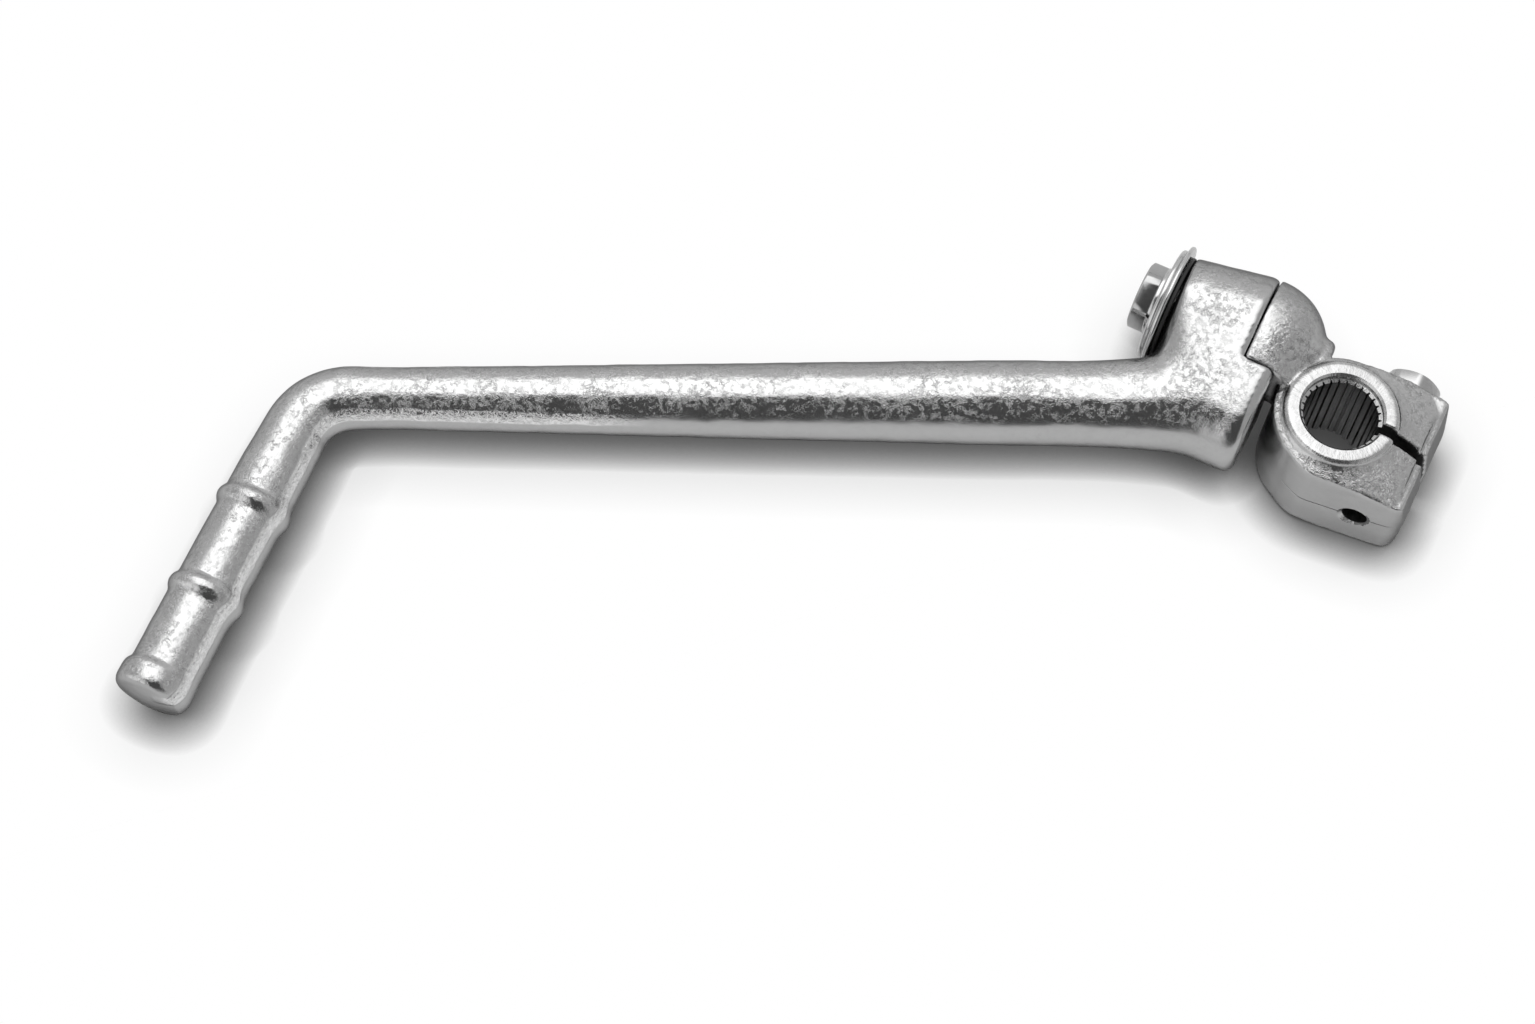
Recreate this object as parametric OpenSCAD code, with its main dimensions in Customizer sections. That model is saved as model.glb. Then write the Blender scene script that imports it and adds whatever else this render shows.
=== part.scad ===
// Folding kick start lever: a serrated clamp knuckle, a hinged lever arm and a ribbed pedal.
// The origin is on the axis of the shaft bore, in the plane that the part lies on.
// X runs along the fold hinge, from the pivot bolt to the clamp ears. Z is the bore axis.

/* [Shaft bore] */
// Diameter of the bore at the tooth tips
bore_tip_d = 15.0; // [14:0.1:15.4]
// Depth of the serration teeth
tooth_depth = 0.5; // [0.3:0.05:0.6]
// Number of serration teeth
tooth_count = 30; // [24:1:36]
// Part of the tooth pitch that is cut away as a groove at the tips
groove_share = 0.52; // [0.4:0.02:0.6]
// Part of a groove's width that is left at its root
groove_root_share = 0.3; // [0.2:0.05:0.5]
// Diameter of the smooth lead-in above the teeth
lead_in_d = 16.4; // [16.2:0.1:16.6]
// Depth of the smooth lead-in
lead_in_depth = 1.6; // [1:0.1:3]
// Width of the chamfer round the mouth of the bore
mouth_chamfer = 0.45; // [0.2:0.05:0.8]

/* [Knuckle] */
// Height of the hub, from its underside to the face of the raised ring
hub_h = 22.5; // [21:0.5:25]
// Outer diameter of the hub
hub_d = 26.8; // [25:0.1:27]
// Outer diameter of the raised ring face
ring_d = 21.6; // [20:0.1:23]
// Height of the raised ring above the sloping shoulder
ring_step = 0.8; // [0.4:0.1:1.4]
// Slope of the shoulder round the ring, in degrees
shoulder_slope = 33; // [28:1:38]
// Height of the clamp ears at their outer end
ear_h = 17.3; // [16:0.1:19]
// Distance from the bore axis to the end of the clamp ears
ear_reach = 20; // [20:0.1:24]
// Distance from the bore axis to the flat near wall
near_wall = 14.5; // [13.6:0.1:15]
// Angle between the near wall and the clamp slit, in degrees
near_wall_turn = 6; // [0:0.5:8]
// Radius of the belly that carries the near wall round to the hinge side
belly_r = 15; // [14:0.1:15.4]
// Distance from the bore axis to the centre of the belly
belly_x = 3; // [2:0.1:4]
// Distance from the bore axis to the flat far wall, where the bolt head seats
far_wall = 15; // [14:0.1:16]
// Width of the clamp slit
slit_w = 2.1; // [1.5:0.1:2.5]
// Radius of the upright corners of the ears
ear_corner_r = 3.6; // [2:0.1:4]
// Radius of the edge along the underside
foot_edge_r = 1.2; // [0.6:0.1:2]

/* [Pinch bolt] */
// Nominal diameter of the pinch bolt
pinch_d = 6; // [5:0.5:6.5]
// Distance of the pinch bolt from the bore axis
pinch_x = 10.5; // [10.5:0.1:12.5]
// Height of the pinch bolt above the underside
pinch_z = 9; // [8:0.1:10]
// Length of the pinch bolt under its head
pinch_len = 22; // [20:1:25]
// Size across the flats of the pinch bolt head
pinch_af = 11; // [8:0.5:11]
// Height of the pinch bolt head
pinch_head_h = 4.8; // [4:0.1:6]
// Turn of the pinch bolt head from flats upright, in degrees
pinch_head_turn = 18; // [0:1:60]
// Diameter of the tapping hole that opens in the near wall
tapping_d = 5.2; // [4.2:0.1:5.6]

/* [Fold hinge] */
// Distance of the hinge axis from the bore axis
pivot_y = 11.4; // [11:0.1:12]
// Height of the hinge axis above the underside
pivot_z = 14; // [13.9:0.1:14.5]
// Distance from the bore axis to the seam between eye and knuckle
seam_x = 22; // [21.5:0.1:23]
// Gap between the two faces of the seam
seam_gap = 0.3; // [0.2:0.05:0.4]
// Diameter of the boss and of the eye at the seam
boss_d = 27.4; // [26.8:0.1:27.8]
// Rounding of the rims at the seam
rim_r = 1.4; // [0.8:0.1:2]
// Diameter of the knuckle's pivot spigot
spigot_d = 13.6; // [12:0.1:14]
// Radial clearance between spigot and eye
spigot_clearance = 0.05; // [0.02:0.01:0.1]
// Distance from the hinge axis to the faces that stop the fold
stop_dist = 10.3; // [9.9:0.1:10.6]
// Gap that is left between the lever's foot and each stop
stop_gap = 0.1; // [0.05:0.05:0.2]
// Radial room round the swept core of the boss
sweep_room = 0.35; // [0.3:0.05:0.6]
// Length of the foot past the seam
foot_overlap = 6.7; // [5:0.1:8]
// Room between the end of the foot and the wall of the hub
foot_end_room = 2.1; // [0.6:0.1:2.4]

/* [Lever] */
// Length of the eye along the hinge
eye_len = 17.4; // [16:0.1:20]
// Diameter of the eye at its outer face
eye_outer_d = 22.6; // [21.5:0.1:24]
// Rounding of the rim at the outer face of the eye
eye_edge_r = 1.8; // [0.5:0.1:2.4]
// Diameter of the foot where the arm leaves the eye
foot_d = 20.8; // [19.6:0.1:22]
// Distance of the foot's axis from the bore axis, towards the near side
foot_y = 6.1; // [4:0.1:6.3]
// Height of the foot's axis
foot_z = 12.2; // [11.5:0.1:13]
// Rounding of the free end of the foot
foot_end_r = 4.2; // [3:0.1:5]
// Length of the arm from the foot to the corner of the bend
arm_len = 179.6; // [150:0.1:220]
// Angle between the arm and the hinge, in degrees
arm_yaw = 25.9; // [20:0.1:32]
// Diameter of the arm at the bend
arm_tip_d = 12.8; // [12:0.1:15]
// Diameter of the arm before it widens into the root
arm_root_d = 17.6; // [15:0.1:19]
// Length of the widening between the arm and its root
flare_len = 32; // [24:1:60]
// Diameter of the bend
bend_d = 13.4; // [13:0.1:15]
// Radius of the bend along its centre line
bend_r = 11.5; // [11:0.5:20]

/* [Pedal] */
// Angle between the pedal and the square to the hinge, in degrees
pedal_yaw = 5; // [0:0.5:12]
// Diameter of the pedal
pedal_d = 14.2; // [12:0.1:15]
// Outer diameter of the ribs and of the end collar
rib_d = 16.4; // [15.5:0.1:18]
// How far the ribs and the collar stand towards the inside of the bend
rib_offset = 0.2; // [0:0.1:0.8]
// Radius of the rounded back of each rib
rib_r = 2.2; // [1.8:0.1:2.6]
// Distance from the corner of the bend to the first rib
rib_start = 27; // [24:0.5:32]
// Distance between the ribs
rib_pitch = 20.6; // [16:0.1:24]
// Number of ribs before the end collar
rib_count = 2; // [1:1:3]
// Length of the end collar with its domed end
collar_len = 7.2; // [5:0.1:9]
// Rounding of the collar's edges
collar_edge_r = 2.2; // [1:0.1:2.6]
// Radius of the dome on the end of the pedal
dome_r = 24; // [12:1:40]

/* [Pivot bolt and washers] */
// Nominal diameter of the pivot bolt
pivot_bolt_d = 8; // [6:0.5:8]
// Length of the pivot bolt's thread in the spigot
pivot_bolt_grip = 16; // [12:1:18]
// Size across the flats of the pivot bolt head
pivot_bolt_af = 13; // [10:0.5:13]
// Height of the pivot bolt head
pivot_head_h = 3.5; // [3:0.1:5.5]
// Turn of the pivot bolt head from a corner upright, in degrees
pivot_head_turn = 3; // [0:1:60]
// Thickness of the dust seal
seal_t = 0.8; // [0.6:0.05:1]
// Outer diameter of the dust seal
seal_d = 22; // [21:0.1:22.5]
// Width of the dust seal's ring
seal_w = 2.4; // [1.5:0.1:3]
// Diameter of the wide cover washer
cover_washer_d = 26.2; // [24:0.1:27]
// Thickness of the wide cover washer
cover_washer_t = 0.95; // [0.8:0.05:1.2]
// Diameter of the retaining washer
retaining_washer_d = 23.6; // [20:0.1:24]
// Thickness of the retaining washer
retaining_washer_t = 1.35; // [1:0.05:1.5]
// Outer diameter of the split spring washer
spring_washer_d = 14.4; // [13.5:0.1:15]
// Thickness of the split spring washer
spring_washer_t = 1.1; // [0.8:0.05:1.4]
// Width of the split in the spring washer
split_w = 0.8; // [0.5:0.1:1.2]
// Place of the split round the spring washer, in degrees
split_turn = -60; // [-180:5:180]

/* [Detent] */
// Diameter of the detent ball
ball_d = 3.5; // [3:0.1:3.6]
// Distance of the detent ball from the hinge axis
ball_ring_r = 9.6; // [9.5:0.1:9.8]
// Depth of the ball's pocket in the knuckle
pocket_depth = 7.5; // [6.5:0.1:7.7]
// How far the ball stands into its track in the eye
track_depth = 0.4; // [0.3:0.05:0.5]
// How far the ball drops from the track into a dimple
dimple_drop = 0.4; // [0.3:0.05:0.5]
// Diameter of the detent spring's wire
spring_wire = 0.45; // [0.35:0.05:0.5]
// Number of turns of the detent spring
spring_turns = 5; // [4:1:6]

/* [Hidden] */
$fn = 72;

// small overlaps that make joined solids one, cuts that run past a face, and cuts that share one
join = 0.5;
past = 2;
hair = 0.005;

// the straight bars end this far inside the bend, which is thicker by the lip
bend_lap = 0.3;
bend_lip = 0.05;

// clearances of the pieces that only fit into or onto each other
thread_clearance = 0.02;
hole_clearance = 0.15;
countersink = 0.5;
bolt_tip = 0.8;
ball_clearance = 0.08;
track_clearance = 0.1;
spring_play = 0.05;
fold_angle = 90;

// how much of its thickness each kind of ring gives to its rounded edge
pressed_edge = 0.45;
ground_edge = 0.25;
rubber_edge = 0.3;

// places along the hinge, counted from the bore axis towards the pivot bolt
knuckle_face = seam_x - seam_gap / 2;
eye_face = seam_x + seam_gap / 2;
eye_end = eye_face + eye_len;
seal_end = eye_end + seal_t;
spigot_end = seal_end + stop_gap;
cover_end = spigot_end + cover_washer_t;
retaining_end = cover_end + retaining_washer_t;
spring_washer_end = retaining_end + spring_washer_t;

// the lever's foot, and the relief of the boss that it swings through
foot_end = knuckle_face - foot_overlap;
relief_end = foot_end - foot_end_room;
foot_face = stop_dist - stop_gap / 2;
stop_face = foot_face - stop_gap;
swept_core_r = foot_face - sweep_room;

// the ring's flank runs out this far for each millimetre that it falls
ring_flank = 0.9;

// the shoulder round the ring meets the flat top of the ears at this radius
shoulder_r = ring_d / 2 + ring_step * ring_flank;
shoulder_z = hub_h - ring_step;
ear_top_r = shoulder_r + (shoulder_z - ear_h) / tan(shoulder_slope);
hub_shoulder_z = shoulder_z - (hub_d / 2 - shoulder_r) * tan(shoulder_slope);

// where the ears leave the hub and reach the far wall, as shares of the hub's radius
ears_leave = [-0.14, 0.98];
ears_reach_wall = 0.7;

// the neck between boss and hub, and where the near wall meets the pinch bolt
neck_d = 13;
neck_end = 6.6;
neck_edge_r = 1.5;
near_face_y = (near_wall - pinch_x * sin(near_wall_turn)) / cos(near_wall_turn);

// how far the bars keep the bend's thickness before they thin out, and the steps of the arm's flare
bend_fade = 9;
flare_steps = 6;

// the eye's cone stands out past its end face, and the web stays inside what it joins
eye_lip = 0.2;
web_inset = 0.1;

// how finely the detent spring's wire is drawn: sides round it, and slices along each turn
wire_sides = 12;
turn_slices = 20;

// the arm falls from the foot until the pedal's collar rests on the ground
foot_centre = [-(eye_face + foot_d / 4), -foot_y, foot_z];
pedal_z = rib_d / 2;
arm_dir = [-cos(arm_yaw), -sin(arm_yaw)];
bend_corner = [
    foot_centre.x + arm_len * arm_dir.x,
    foot_centre.y + arm_len * arm_dir.y,
    pedal_z
];
pedal_heading = pedal_yaw - 90;
arm_heading = arm_yaw;
bend_angle = 180 - (arm_heading - pedal_heading);
arm_rise = asin((foot_z - pedal_z) / (arm_len * sin(arm_heading - pedal_heading)));
bend_setback = bend_r * tan(bend_angle / 2);
pedal_end = rib_start + rib_count * rib_pitch + collar_len / 2;

// the ball's place, and the track that it runs in
ball_centre_x = eye_face + track_depth - ball_d / 2;
ball_angle = 45;
track_r = ball_d / 2 + track_clearance;

// Square with its corners rounded, from one corner to the other
module rounded_square(low, high, r) {
    translate([low.x + r, low.y]) square([high.x - low.x - 2 * r, high.y - low.y]);
    translate([low.x, low.y + r]) square([high.x - low.x, high.y - low.y - 2 * r]);
    for (x = [low.x + r, high.x - r], y = [low.y + r, high.y - r])
        translate([x, y]) circle(r);
}

// Turns a shape drawn along +Z so that it runs along -X from the given distance on the hinge axis
module on_hinge(from = 0) {
    translate([-from, pivot_y, pivot_z]) rotate([0, -90, 0]) children();
}

// Flat ring or disc along the hinge, with both outer edges rounded
module hinge_ring(from, thickness, outer_d, inner_d, edge_r) {
    on_hinge(from) rotate_extrude() difference() {
        rounded_square([-outer_d / 2, 0], [outer_d / 2, thickness], edge_r);
        translate([-outer_d, -past]) square([outer_d + inner_d / 2, thickness + 2 * past]);
    }
}

// Hexagon head along +Z, with its outer corners turned off
module hex_head(af, height) {
    corner_r = af / 2 / cos(30);
    crown = (corner_r - af / 2) * tan(30);
    intersection() {
        cylinder(r = corner_r, h = height, $fn = 6);
        union() {
            cylinder(r = corner_r + join, h = height - 2 * crown);
            translate([0, 0, height - 2 * crown])
                cylinder(r1 = af / 2 + 2 * crown / tan(30), r2 = af / 2, h = 2 * crown, $fn = 96);
        }
    }
}

// Bore of the hub: tooth tips on one true cylinder, with grooves cut outwards from it
module serrated_bore() {
    pitch = 360 / tooth_count;
    tip_r = bore_tip_d / 2;
    half_open = tip_r * sin(pitch * groove_share / 2);
    half_root = half_open * groove_root_share;
    translate([0, 0, -past]) linear_extrude(hub_h + 2 * past) {
        circle(tip_r);
        for (i = [0 : tooth_count - 1])
            rotate((i + 0.5) * pitch) polygon([
                [tip_r - join, -half_open],
                [tip_r * cos(pitch * groove_share / 2), -half_open],
                [tip_r + tooth_depth, -half_root],
                [tip_r + tooth_depth, half_root],
                [tip_r * cos(pitch * groove_share / 2), half_open],
                [tip_r - join, half_open]
            ]);
    }
    translate([0, 0, hub_h - lead_in_depth]) cylinder(d = lead_in_d, h = lead_in_depth + past);
    translate([0, 0, hub_h - mouth_chamfer])
        cylinder(d1 = lead_in_d, d2 = lead_in_d + 4 * mouth_chamfer, h = 2 * mouth_chamfer);
}

// Round body of the hub with the raised ring on top
module hub_body() {
    hub_r = hub_d / 2;
    rotate_extrude() intersection() {
        rounded_square([-hub_r, 0], [hub_r, hub_h + hub_r], foot_edge_r);
        polygon([
            [0, 0],
            [hub_r, 0],
            [hub_r, hub_shoulder_z],
            [shoulder_r, shoulder_z],
            [ring_d / 2, hub_h],
            [0, hub_h]
        ]);
    }
}

// Outline of the hub and ears from above
module ear_plan() {
    size = ear_reach + far_wall;
    hub_r = hub_d / 2;
    corner_x = ear_reach - ear_corner_r;
    corner_y = (near_wall - corner_x * sin(near_wall_turn)) / cos(near_wall_turn);
    intersection() {
        rotate(near_wall_turn) translate([-2 * size, -near_wall]) square([4 * size, 3 * size]);
        union() {
            rounded_square([-size, -corner_y], [ear_reach, far_wall], ear_corner_r);
            translate([-size, -size]) square([size + corner_x, 1.5 * size]);
        }
        union() {
            circle(hub_r);
            polygon([
                [0, 0], hub_r * ears_leave, [hub_r * ears_reach_wall, far_wall],
                [size, far_wall], [size, -size], [belly_x, -size], [belly_x, 0]
            ]);
            intersection() {
                translate([belly_x, 0]) circle(belly_r);
                translate([-size, -size]) square([2 * size, size]);
            }
        }
    }
}

// Clamp ears: one block before it is slit, with a conical shoulder falling from the ring
module ear_block() {
    size = ear_reach + far_wall;
    top_edge_r = ear_corner_r - foot_edge_r / 2;
    intersection() {
        linear_extrude(hub_h) ear_plan();
        rotate([90, 0, 0]) translate([0, 0, -size]) linear_extrude(2 * size) {
            rounded_square([-size, 0], [ear_reach, ear_h], top_edge_r);
            rounded_square([-size, 0], [ear_reach, ear_h - top_edge_r], foot_edge_r);
            translate([-size, top_edge_r]) square([size + ear_reach - top_edge_r, hub_h]);
        }
        rotate([90, 0, 90]) translate([0, 0, -size]) linear_extrude(2 * size)
            rounded_square([-near_wall, 0], [far_wall, 2 * hub_h], foot_edge_r);
        rotate_extrude() polygon([
            [0, 0],
            [size, 0],
            [size, ear_h],
            [ear_top_r, ear_h],
            [shoulder_r, shoulder_z],
            [0, shoulder_z]
        ]);
    }
}

// Domed boss that carries the hinge, with a short neck that ties it to the hub
module hinge_boss() {
    boss_r = boss_d / 2;
    dome_base = knuckle_face - rim_r / 2;
    on_hinge() rotate_extrude() {
        intersection() {
            translate([0, dome_base]) circle(boss_r);
            translate([0, dome_base - boss_r]) square([boss_r, boss_r]);
        }
        polygon([
            [0, dome_base - join], [boss_r, dome_base - join], [boss_r, knuckle_face - rim_r],
            [boss_r - rim_r, knuckle_face], [0, knuckle_face]
        ]);
        translate([boss_r - rim_r, knuckle_face - rim_r]) circle(rim_r);
    }
    on_hinge(neck_end) rotate_extrude() rounded_square(
        [0, 0], [neck_d / 2, knuckle_face / 2 + neck_edge_r], neck_edge_r
    );
    on_hinge(neck_end) cylinder(d = neck_d - 2 * neck_edge_r, h = knuckle_face / 2);
}

// What the lever's foot sweeps through while the lever unfolds
module foot_sweep() {
    long = boss_d;
    depth = knuckle_face - relief_end;
    translate([-knuckle_face - past, pivot_y - stop_face - long, pivot_z])
        cube([depth + past, long, long]);
    translate([-knuckle_face - past, pivot_y - hair, pivot_z - stop_face - long])
        cube([depth + past, long, long]);
    difference() {
        translate([-knuckle_face - past, pivot_y - long, pivot_z - long])
            cube([depth + past, long, long]);
        on_hinge(relief_end - past) cylinder(r = swept_core_r, h = depth + 3 * past);
    }
}

// Places a shape on the ball's axis, from the given distance on the hinge axis towards the seam
module on_ball_axis(from) {
    on_hinge(from) rotate([0, 0, 180 - ball_angle]) translate([0, -ball_ring_r, 0]) children();
}

// Blind pocket for the detent spring and ball, open at the seam
module detent_pocket() {
    on_ball_axis(knuckle_face - pocket_depth)
        cylinder(d = ball_d + 2 * ball_clearance, h = pocket_depth + past);
}

// Stepped hole for the pinch bolt: clearance, thread and tapping size
module pinch_bolt_hole() {
    translate([pinch_x, 0, pinch_z]) {
        rotate([-90, 0, 0]) cylinder(d = pinch_d + 2 * hole_clearance, h = far_wall + past);
        rotate([90, 0, 0]) cylinder(
            d = pinch_d + 2 * thread_clearance, h = pinch_len - far_wall + 2 * join
        );
        rotate([90, 0, 0]) cylinder(d = tapping_d, h = near_wall + past);
        translate([0, -near_face_y - countersink, 0]) rotate([-90, 0, 0])
            cylinder(d1 = tapping_d + 4 * countersink, d2 = tapping_d, h = 2 * countersink);
    }
}

// Forged knuckle that clamps on the kick shaft and carries the hinge
module knuckle() {
    color("lightsteelblue") difference() {
        union() {
            hub_body();
            ear_block();
            difference() {
                hinge_boss();
                foot_sweep();
            }
            on_hinge(knuckle_face - join) cylinder(d = spigot_d, h = spigot_end - knuckle_face + join);
        }
        serrated_bore();
        translate([0, -slit_w / 2, -past]) cube([ear_reach + past, slit_w, hub_h + 2 * past]);
        pinch_bolt_hole();
        on_hinge(spigot_end - pivot_bolt_grip - past)
            cylinder(d = pivot_bolt_d + 2 * thread_clearance, h = pivot_bolt_grip + 2 * past);
        detent_pocket();
    }
}

// Hexagon bolt that closes the clamp slit
module pinch_bolt() {
    color("silver") translate([pinch_x, far_wall, pinch_z]) {
        rotate([-90, 0, 0]) rotate(-pinch_head_turn) hex_head(pinch_af, pinch_head_h);
        rotate([90, 0, 0]) cylinder(d = pinch_d, h = pinch_len - bolt_tip);
        translate([0, -pinch_len + bolt_tip, 0]) rotate([90, 0, 0])
            cylinder(d1 = pinch_d, d2 = pinch_d - 2 * bolt_tip, h = bolt_tip, $fn = 48);
    }
}

// Hexagon bolt that keeps the eye on the spigot
module pivot_bolt() {
    color("silver") {
        on_hinge(spring_washer_end) rotate(pivot_head_turn) hex_head(pivot_bolt_af, pivot_head_h);
        on_hinge(spigot_end - pivot_bolt_grip)
            cylinder(d = pivot_bolt_d, h = pivot_bolt_grip + spring_washer_end - spigot_end + join);
    }
}

// Split spring washer under the head of the pivot bolt
module spring_washer() {
    color("gainsboro") difference() {
        hinge_ring(
            retaining_end, spring_washer_t, spring_washer_d,
            pivot_bolt_d + 2 * hole_clearance, spring_washer_t * ground_edge
        );
        on_hinge(retaining_end - past) rotate(split_turn) translate([0, -split_w / 2, 0])
            cube([spring_washer_d, split_w, spring_washer_t + 2 * past]);
    }
}

// Rounded washer that holds the eye on the spigot
module retaining_washer() {
    color("gainsboro") hinge_ring(
        cover_end, retaining_washer_t, retaining_washer_d,
        pivot_bolt_d + 2 * hole_clearance, retaining_washer_t * pressed_edge
    );
}

// Wide thin washer that covers the dust seal
module cover_washer() {
    color("silver") hinge_ring(
        spigot_end, cover_washer_t, cover_washer_d,
        pivot_bolt_d + 2 * hole_clearance, cover_washer_t * pressed_edge
    );
}

// Rubber ring that keeps dirt out of the hinge
module dust_seal() {
    color("black") hinge_ring(eye_end, seal_t, seal_d, seal_d - 2 * seal_w, seal_t * rubber_edge);
}

// Steel ball that snaps into the dimples of the eye
module detent_ball() {
    color("whitesmoke") on_ball_axis(ball_centre_x) sphere(d = ball_d);
}

// Compression spring behind the ball, with its ends ground flat
module detent_spring() {
    coil_r = (ball_d - spring_wire) / 2;
    bottom = knuckle_face - pocket_depth;
    seat = sqrt(pow((ball_d + spring_wire) / 2, 2) - pow(coil_r, 2));
    height = ball_centre_x - bottom - seat - spring_play;
    turn_rise = height / spring_turns;
    color("dimgray") on_ball_axis(bottom)
        linear_extrude(
            height, twist = -360 * spring_turns, slices = turn_slices * spring_turns, $fn = wire_sides
        )
            polygon([
                for (t = [0 : 360 / wire_sides : 359])
                    let (
                        r = coil_r + spring_wire / 2 * cos(t),
                        a = 180 * spring_wire / turn_rise * sin(t)
                    )
                    [r * cos(a), r * sin(a)]
            ]);
}

// Eye that turns on the spigot, widening towards the seam
module eye_body() {
    seam_r = boss_d / 2;
    outer_r = eye_outer_d / 2;
    on_hinge(eye_face) rotate_extrude() intersection() {
        polygon([[0, 0], [seam_r, 0], [seam_r, rim_r], [outer_r, eye_len], [0, eye_len]]);
        rounded_square([-seam_r, 0], [seam_r, 2 * eye_len], rim_r);
        union() {
            square([seam_r, eye_len - eye_edge_r]);
            rounded_square([-outer_r - eye_lip, 0], [outer_r + eye_lip, eye_len], eye_edge_r);
        }
    }
}

// Foot of the lever: a round-ended bar past the seam that meets the knuckle's stops
module foot_body() {
    foot_r = foot_d / 2;
    length = -foot_centre.x - foot_end;
    translate([foot_centre.x, foot_centre.y, foot_centre.z]) {
        sphere(r = foot_r);
        rotate([0, 90, 0]) rotate_extrude() {
            square([foot_r, length - foot_end_r]);
            square([foot_r - foot_end_r, length]);
            translate([foot_r - foot_end_r, length - foot_end_r]) circle(foot_end_r);
        }
    }
}

// Smooth shell between the eye and the foot
module root_web() {
    hull() {
        on_hinge(eye_face + rim_r) cylinder(
            d1 = boss_d - web_inset, d2 = eye_outer_d - 3 * web_inset,
            h = eye_len - rim_r - 2 * eye_edge_r, $fn = 48
        );
        translate(foot_centre) sphere(d = foot_d - web_inset, $fn = 32);
        translate([-eye_face, foot_centre.y, foot_centre.z]) rotate([0, -90, 0])
            cylinder(d = foot_d - web_inset, h = 2 * join, $fn = 48);
    }
}

// Carries its children into the plane of arm and pedal: x along the pedal, from the bend's corner
module lever_plane() {
    translate(bend_corner) rotate([0, 0, pedal_heading]) rotate([arm_rise, 0, 0]) children();
}

// Round tapered arm, from the bend to the root
module arm_body() {
    turn = arm_heading - pedal_heading;
    lever_plane() rotate([0, 0, turn]) rotate([0, 90, 0]) rotate_extrude() polygon([
        [0, bend_setback - bend_lap],
        [bend_d / 2 - bend_lip, bend_setback - bend_lap],
        [arm_tip_d / 2, bend_setback + bend_fade],
        [arm_root_d / 2, arm_len - flare_len],
        for (k = [1 : flare_steps])
            [
                arm_root_d / 2 + (foot_d - arm_root_d) / 2 * pow(k / flare_steps, 2),
                arm_len - flare_len * (1 - k / flare_steps)
            ],
        [0, arm_len]
    ]);
}

// Bend between arm and pedal
module bend_body() {
    lever_plane() translate([bend_setback, bend_r, 0])
        rotate([0, 0, -90 - bend_angle])
            rotate_extrude(angle = bend_angle) translate([bend_r, 0])
                circle(d = bend_d);
}

// Ribbed pedal with a collar and a domed end
module pedal_body() {
    collar_start = pedal_end - collar_len;
    lever_plane() rotate([0, 90, 0]) rotate_extrude() polygon([
        [0, bend_setback - bend_lap],
        [bend_d / 2 - bend_lip, bend_setback - bend_lap],
        [pedal_d / 2, bend_setback + bend_fade],
        [pedal_d / 2, collar_start + join],
        [0, collar_start + join]
    ]);
    lever_plane() translate([0, rib_offset, 0]) rotate([0, 90, 0]) rotate_extrude() {
        for (k = [0 : rib_count - 1])
            translate([rib_d / 2 - rib_r, rib_start + k * rib_pitch]) circle(rib_r);
        intersection() {
            rounded_square([-rib_d / 2, collar_start], [rib_d / 2, pedal_end], collar_edge_r);
            translate([0, pedal_end - dome_r]) circle(dome_r);
            translate([0, collar_start]) square([rib_d, collar_len]);
        }
    }
}

// Shallow arc that the ball runs in, with a dimple at each end of the fold
module detent_track() {
    translate([-ball_centre_x, pivot_y, pivot_z]) rotate([0, 90, 0])
        rotate([0, 0, 180 - ball_angle - fold_angle])
            rotate_extrude(angle = fold_angle) translate([ball_ring_r, 0]) circle(track_r);
    for (turned = [0, fold_angle])
        translate([-ball_centre_x - dimple_drop, pivot_y, pivot_z])
            rotate([ball_angle - turned, 0, 0]) translate([0, ball_ring_r, 0]) sphere(track_r);
}

// Forged lever: eye, foot, arm, bend and pedal in one piece
module lever() {
    color("lightgray") difference() {
        union() {
            eye_body();
            root_web();
            foot_body();
            arm_body();
            bend_body();
            pedal_body();
        }
        on_hinge(eye_face - past)
            cylinder(r = spigot_d / 2 + spigot_clearance, h = eye_len + 2 * past);
        // the foot's inner face, which meets the stops
        translate([-eye_face, pivot_y - foot_face, -past])
            cube([boss_d, boss_d * 2, boss_d * 2]);
        detent_track();
    }
}

knuckle();
pinch_bolt();
pivot_bolt();
spring_washer();
retaining_washer();
cover_washer();
dust_seal();
detent_ball();
detent_spring();
lever();
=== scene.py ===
import math

import bmesh
import bpy
import numpy as np
from mathutils import Matrix, Vector, noise


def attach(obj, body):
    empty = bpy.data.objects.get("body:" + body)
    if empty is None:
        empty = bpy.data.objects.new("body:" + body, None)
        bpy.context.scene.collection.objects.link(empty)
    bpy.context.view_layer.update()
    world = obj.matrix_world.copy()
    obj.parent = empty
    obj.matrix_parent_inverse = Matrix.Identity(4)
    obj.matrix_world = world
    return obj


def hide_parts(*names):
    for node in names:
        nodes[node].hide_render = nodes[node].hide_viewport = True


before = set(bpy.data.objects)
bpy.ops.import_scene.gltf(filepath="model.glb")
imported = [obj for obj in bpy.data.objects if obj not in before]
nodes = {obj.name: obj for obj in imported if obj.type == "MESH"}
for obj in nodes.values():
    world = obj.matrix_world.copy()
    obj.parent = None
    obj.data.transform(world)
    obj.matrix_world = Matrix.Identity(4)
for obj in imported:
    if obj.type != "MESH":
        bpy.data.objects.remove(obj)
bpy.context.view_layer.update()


# Angles in degrees
def sin(angle):
    return math.sin(math.radians(angle))


def cos(angle):
    return math.cos(math.radians(angle))


def tan(angle):
    return math.tan(math.radians(angle))


def rotation(angle, axis):
    return Matrix.Rotation(math.radians(angle), 4, axis)


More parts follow.
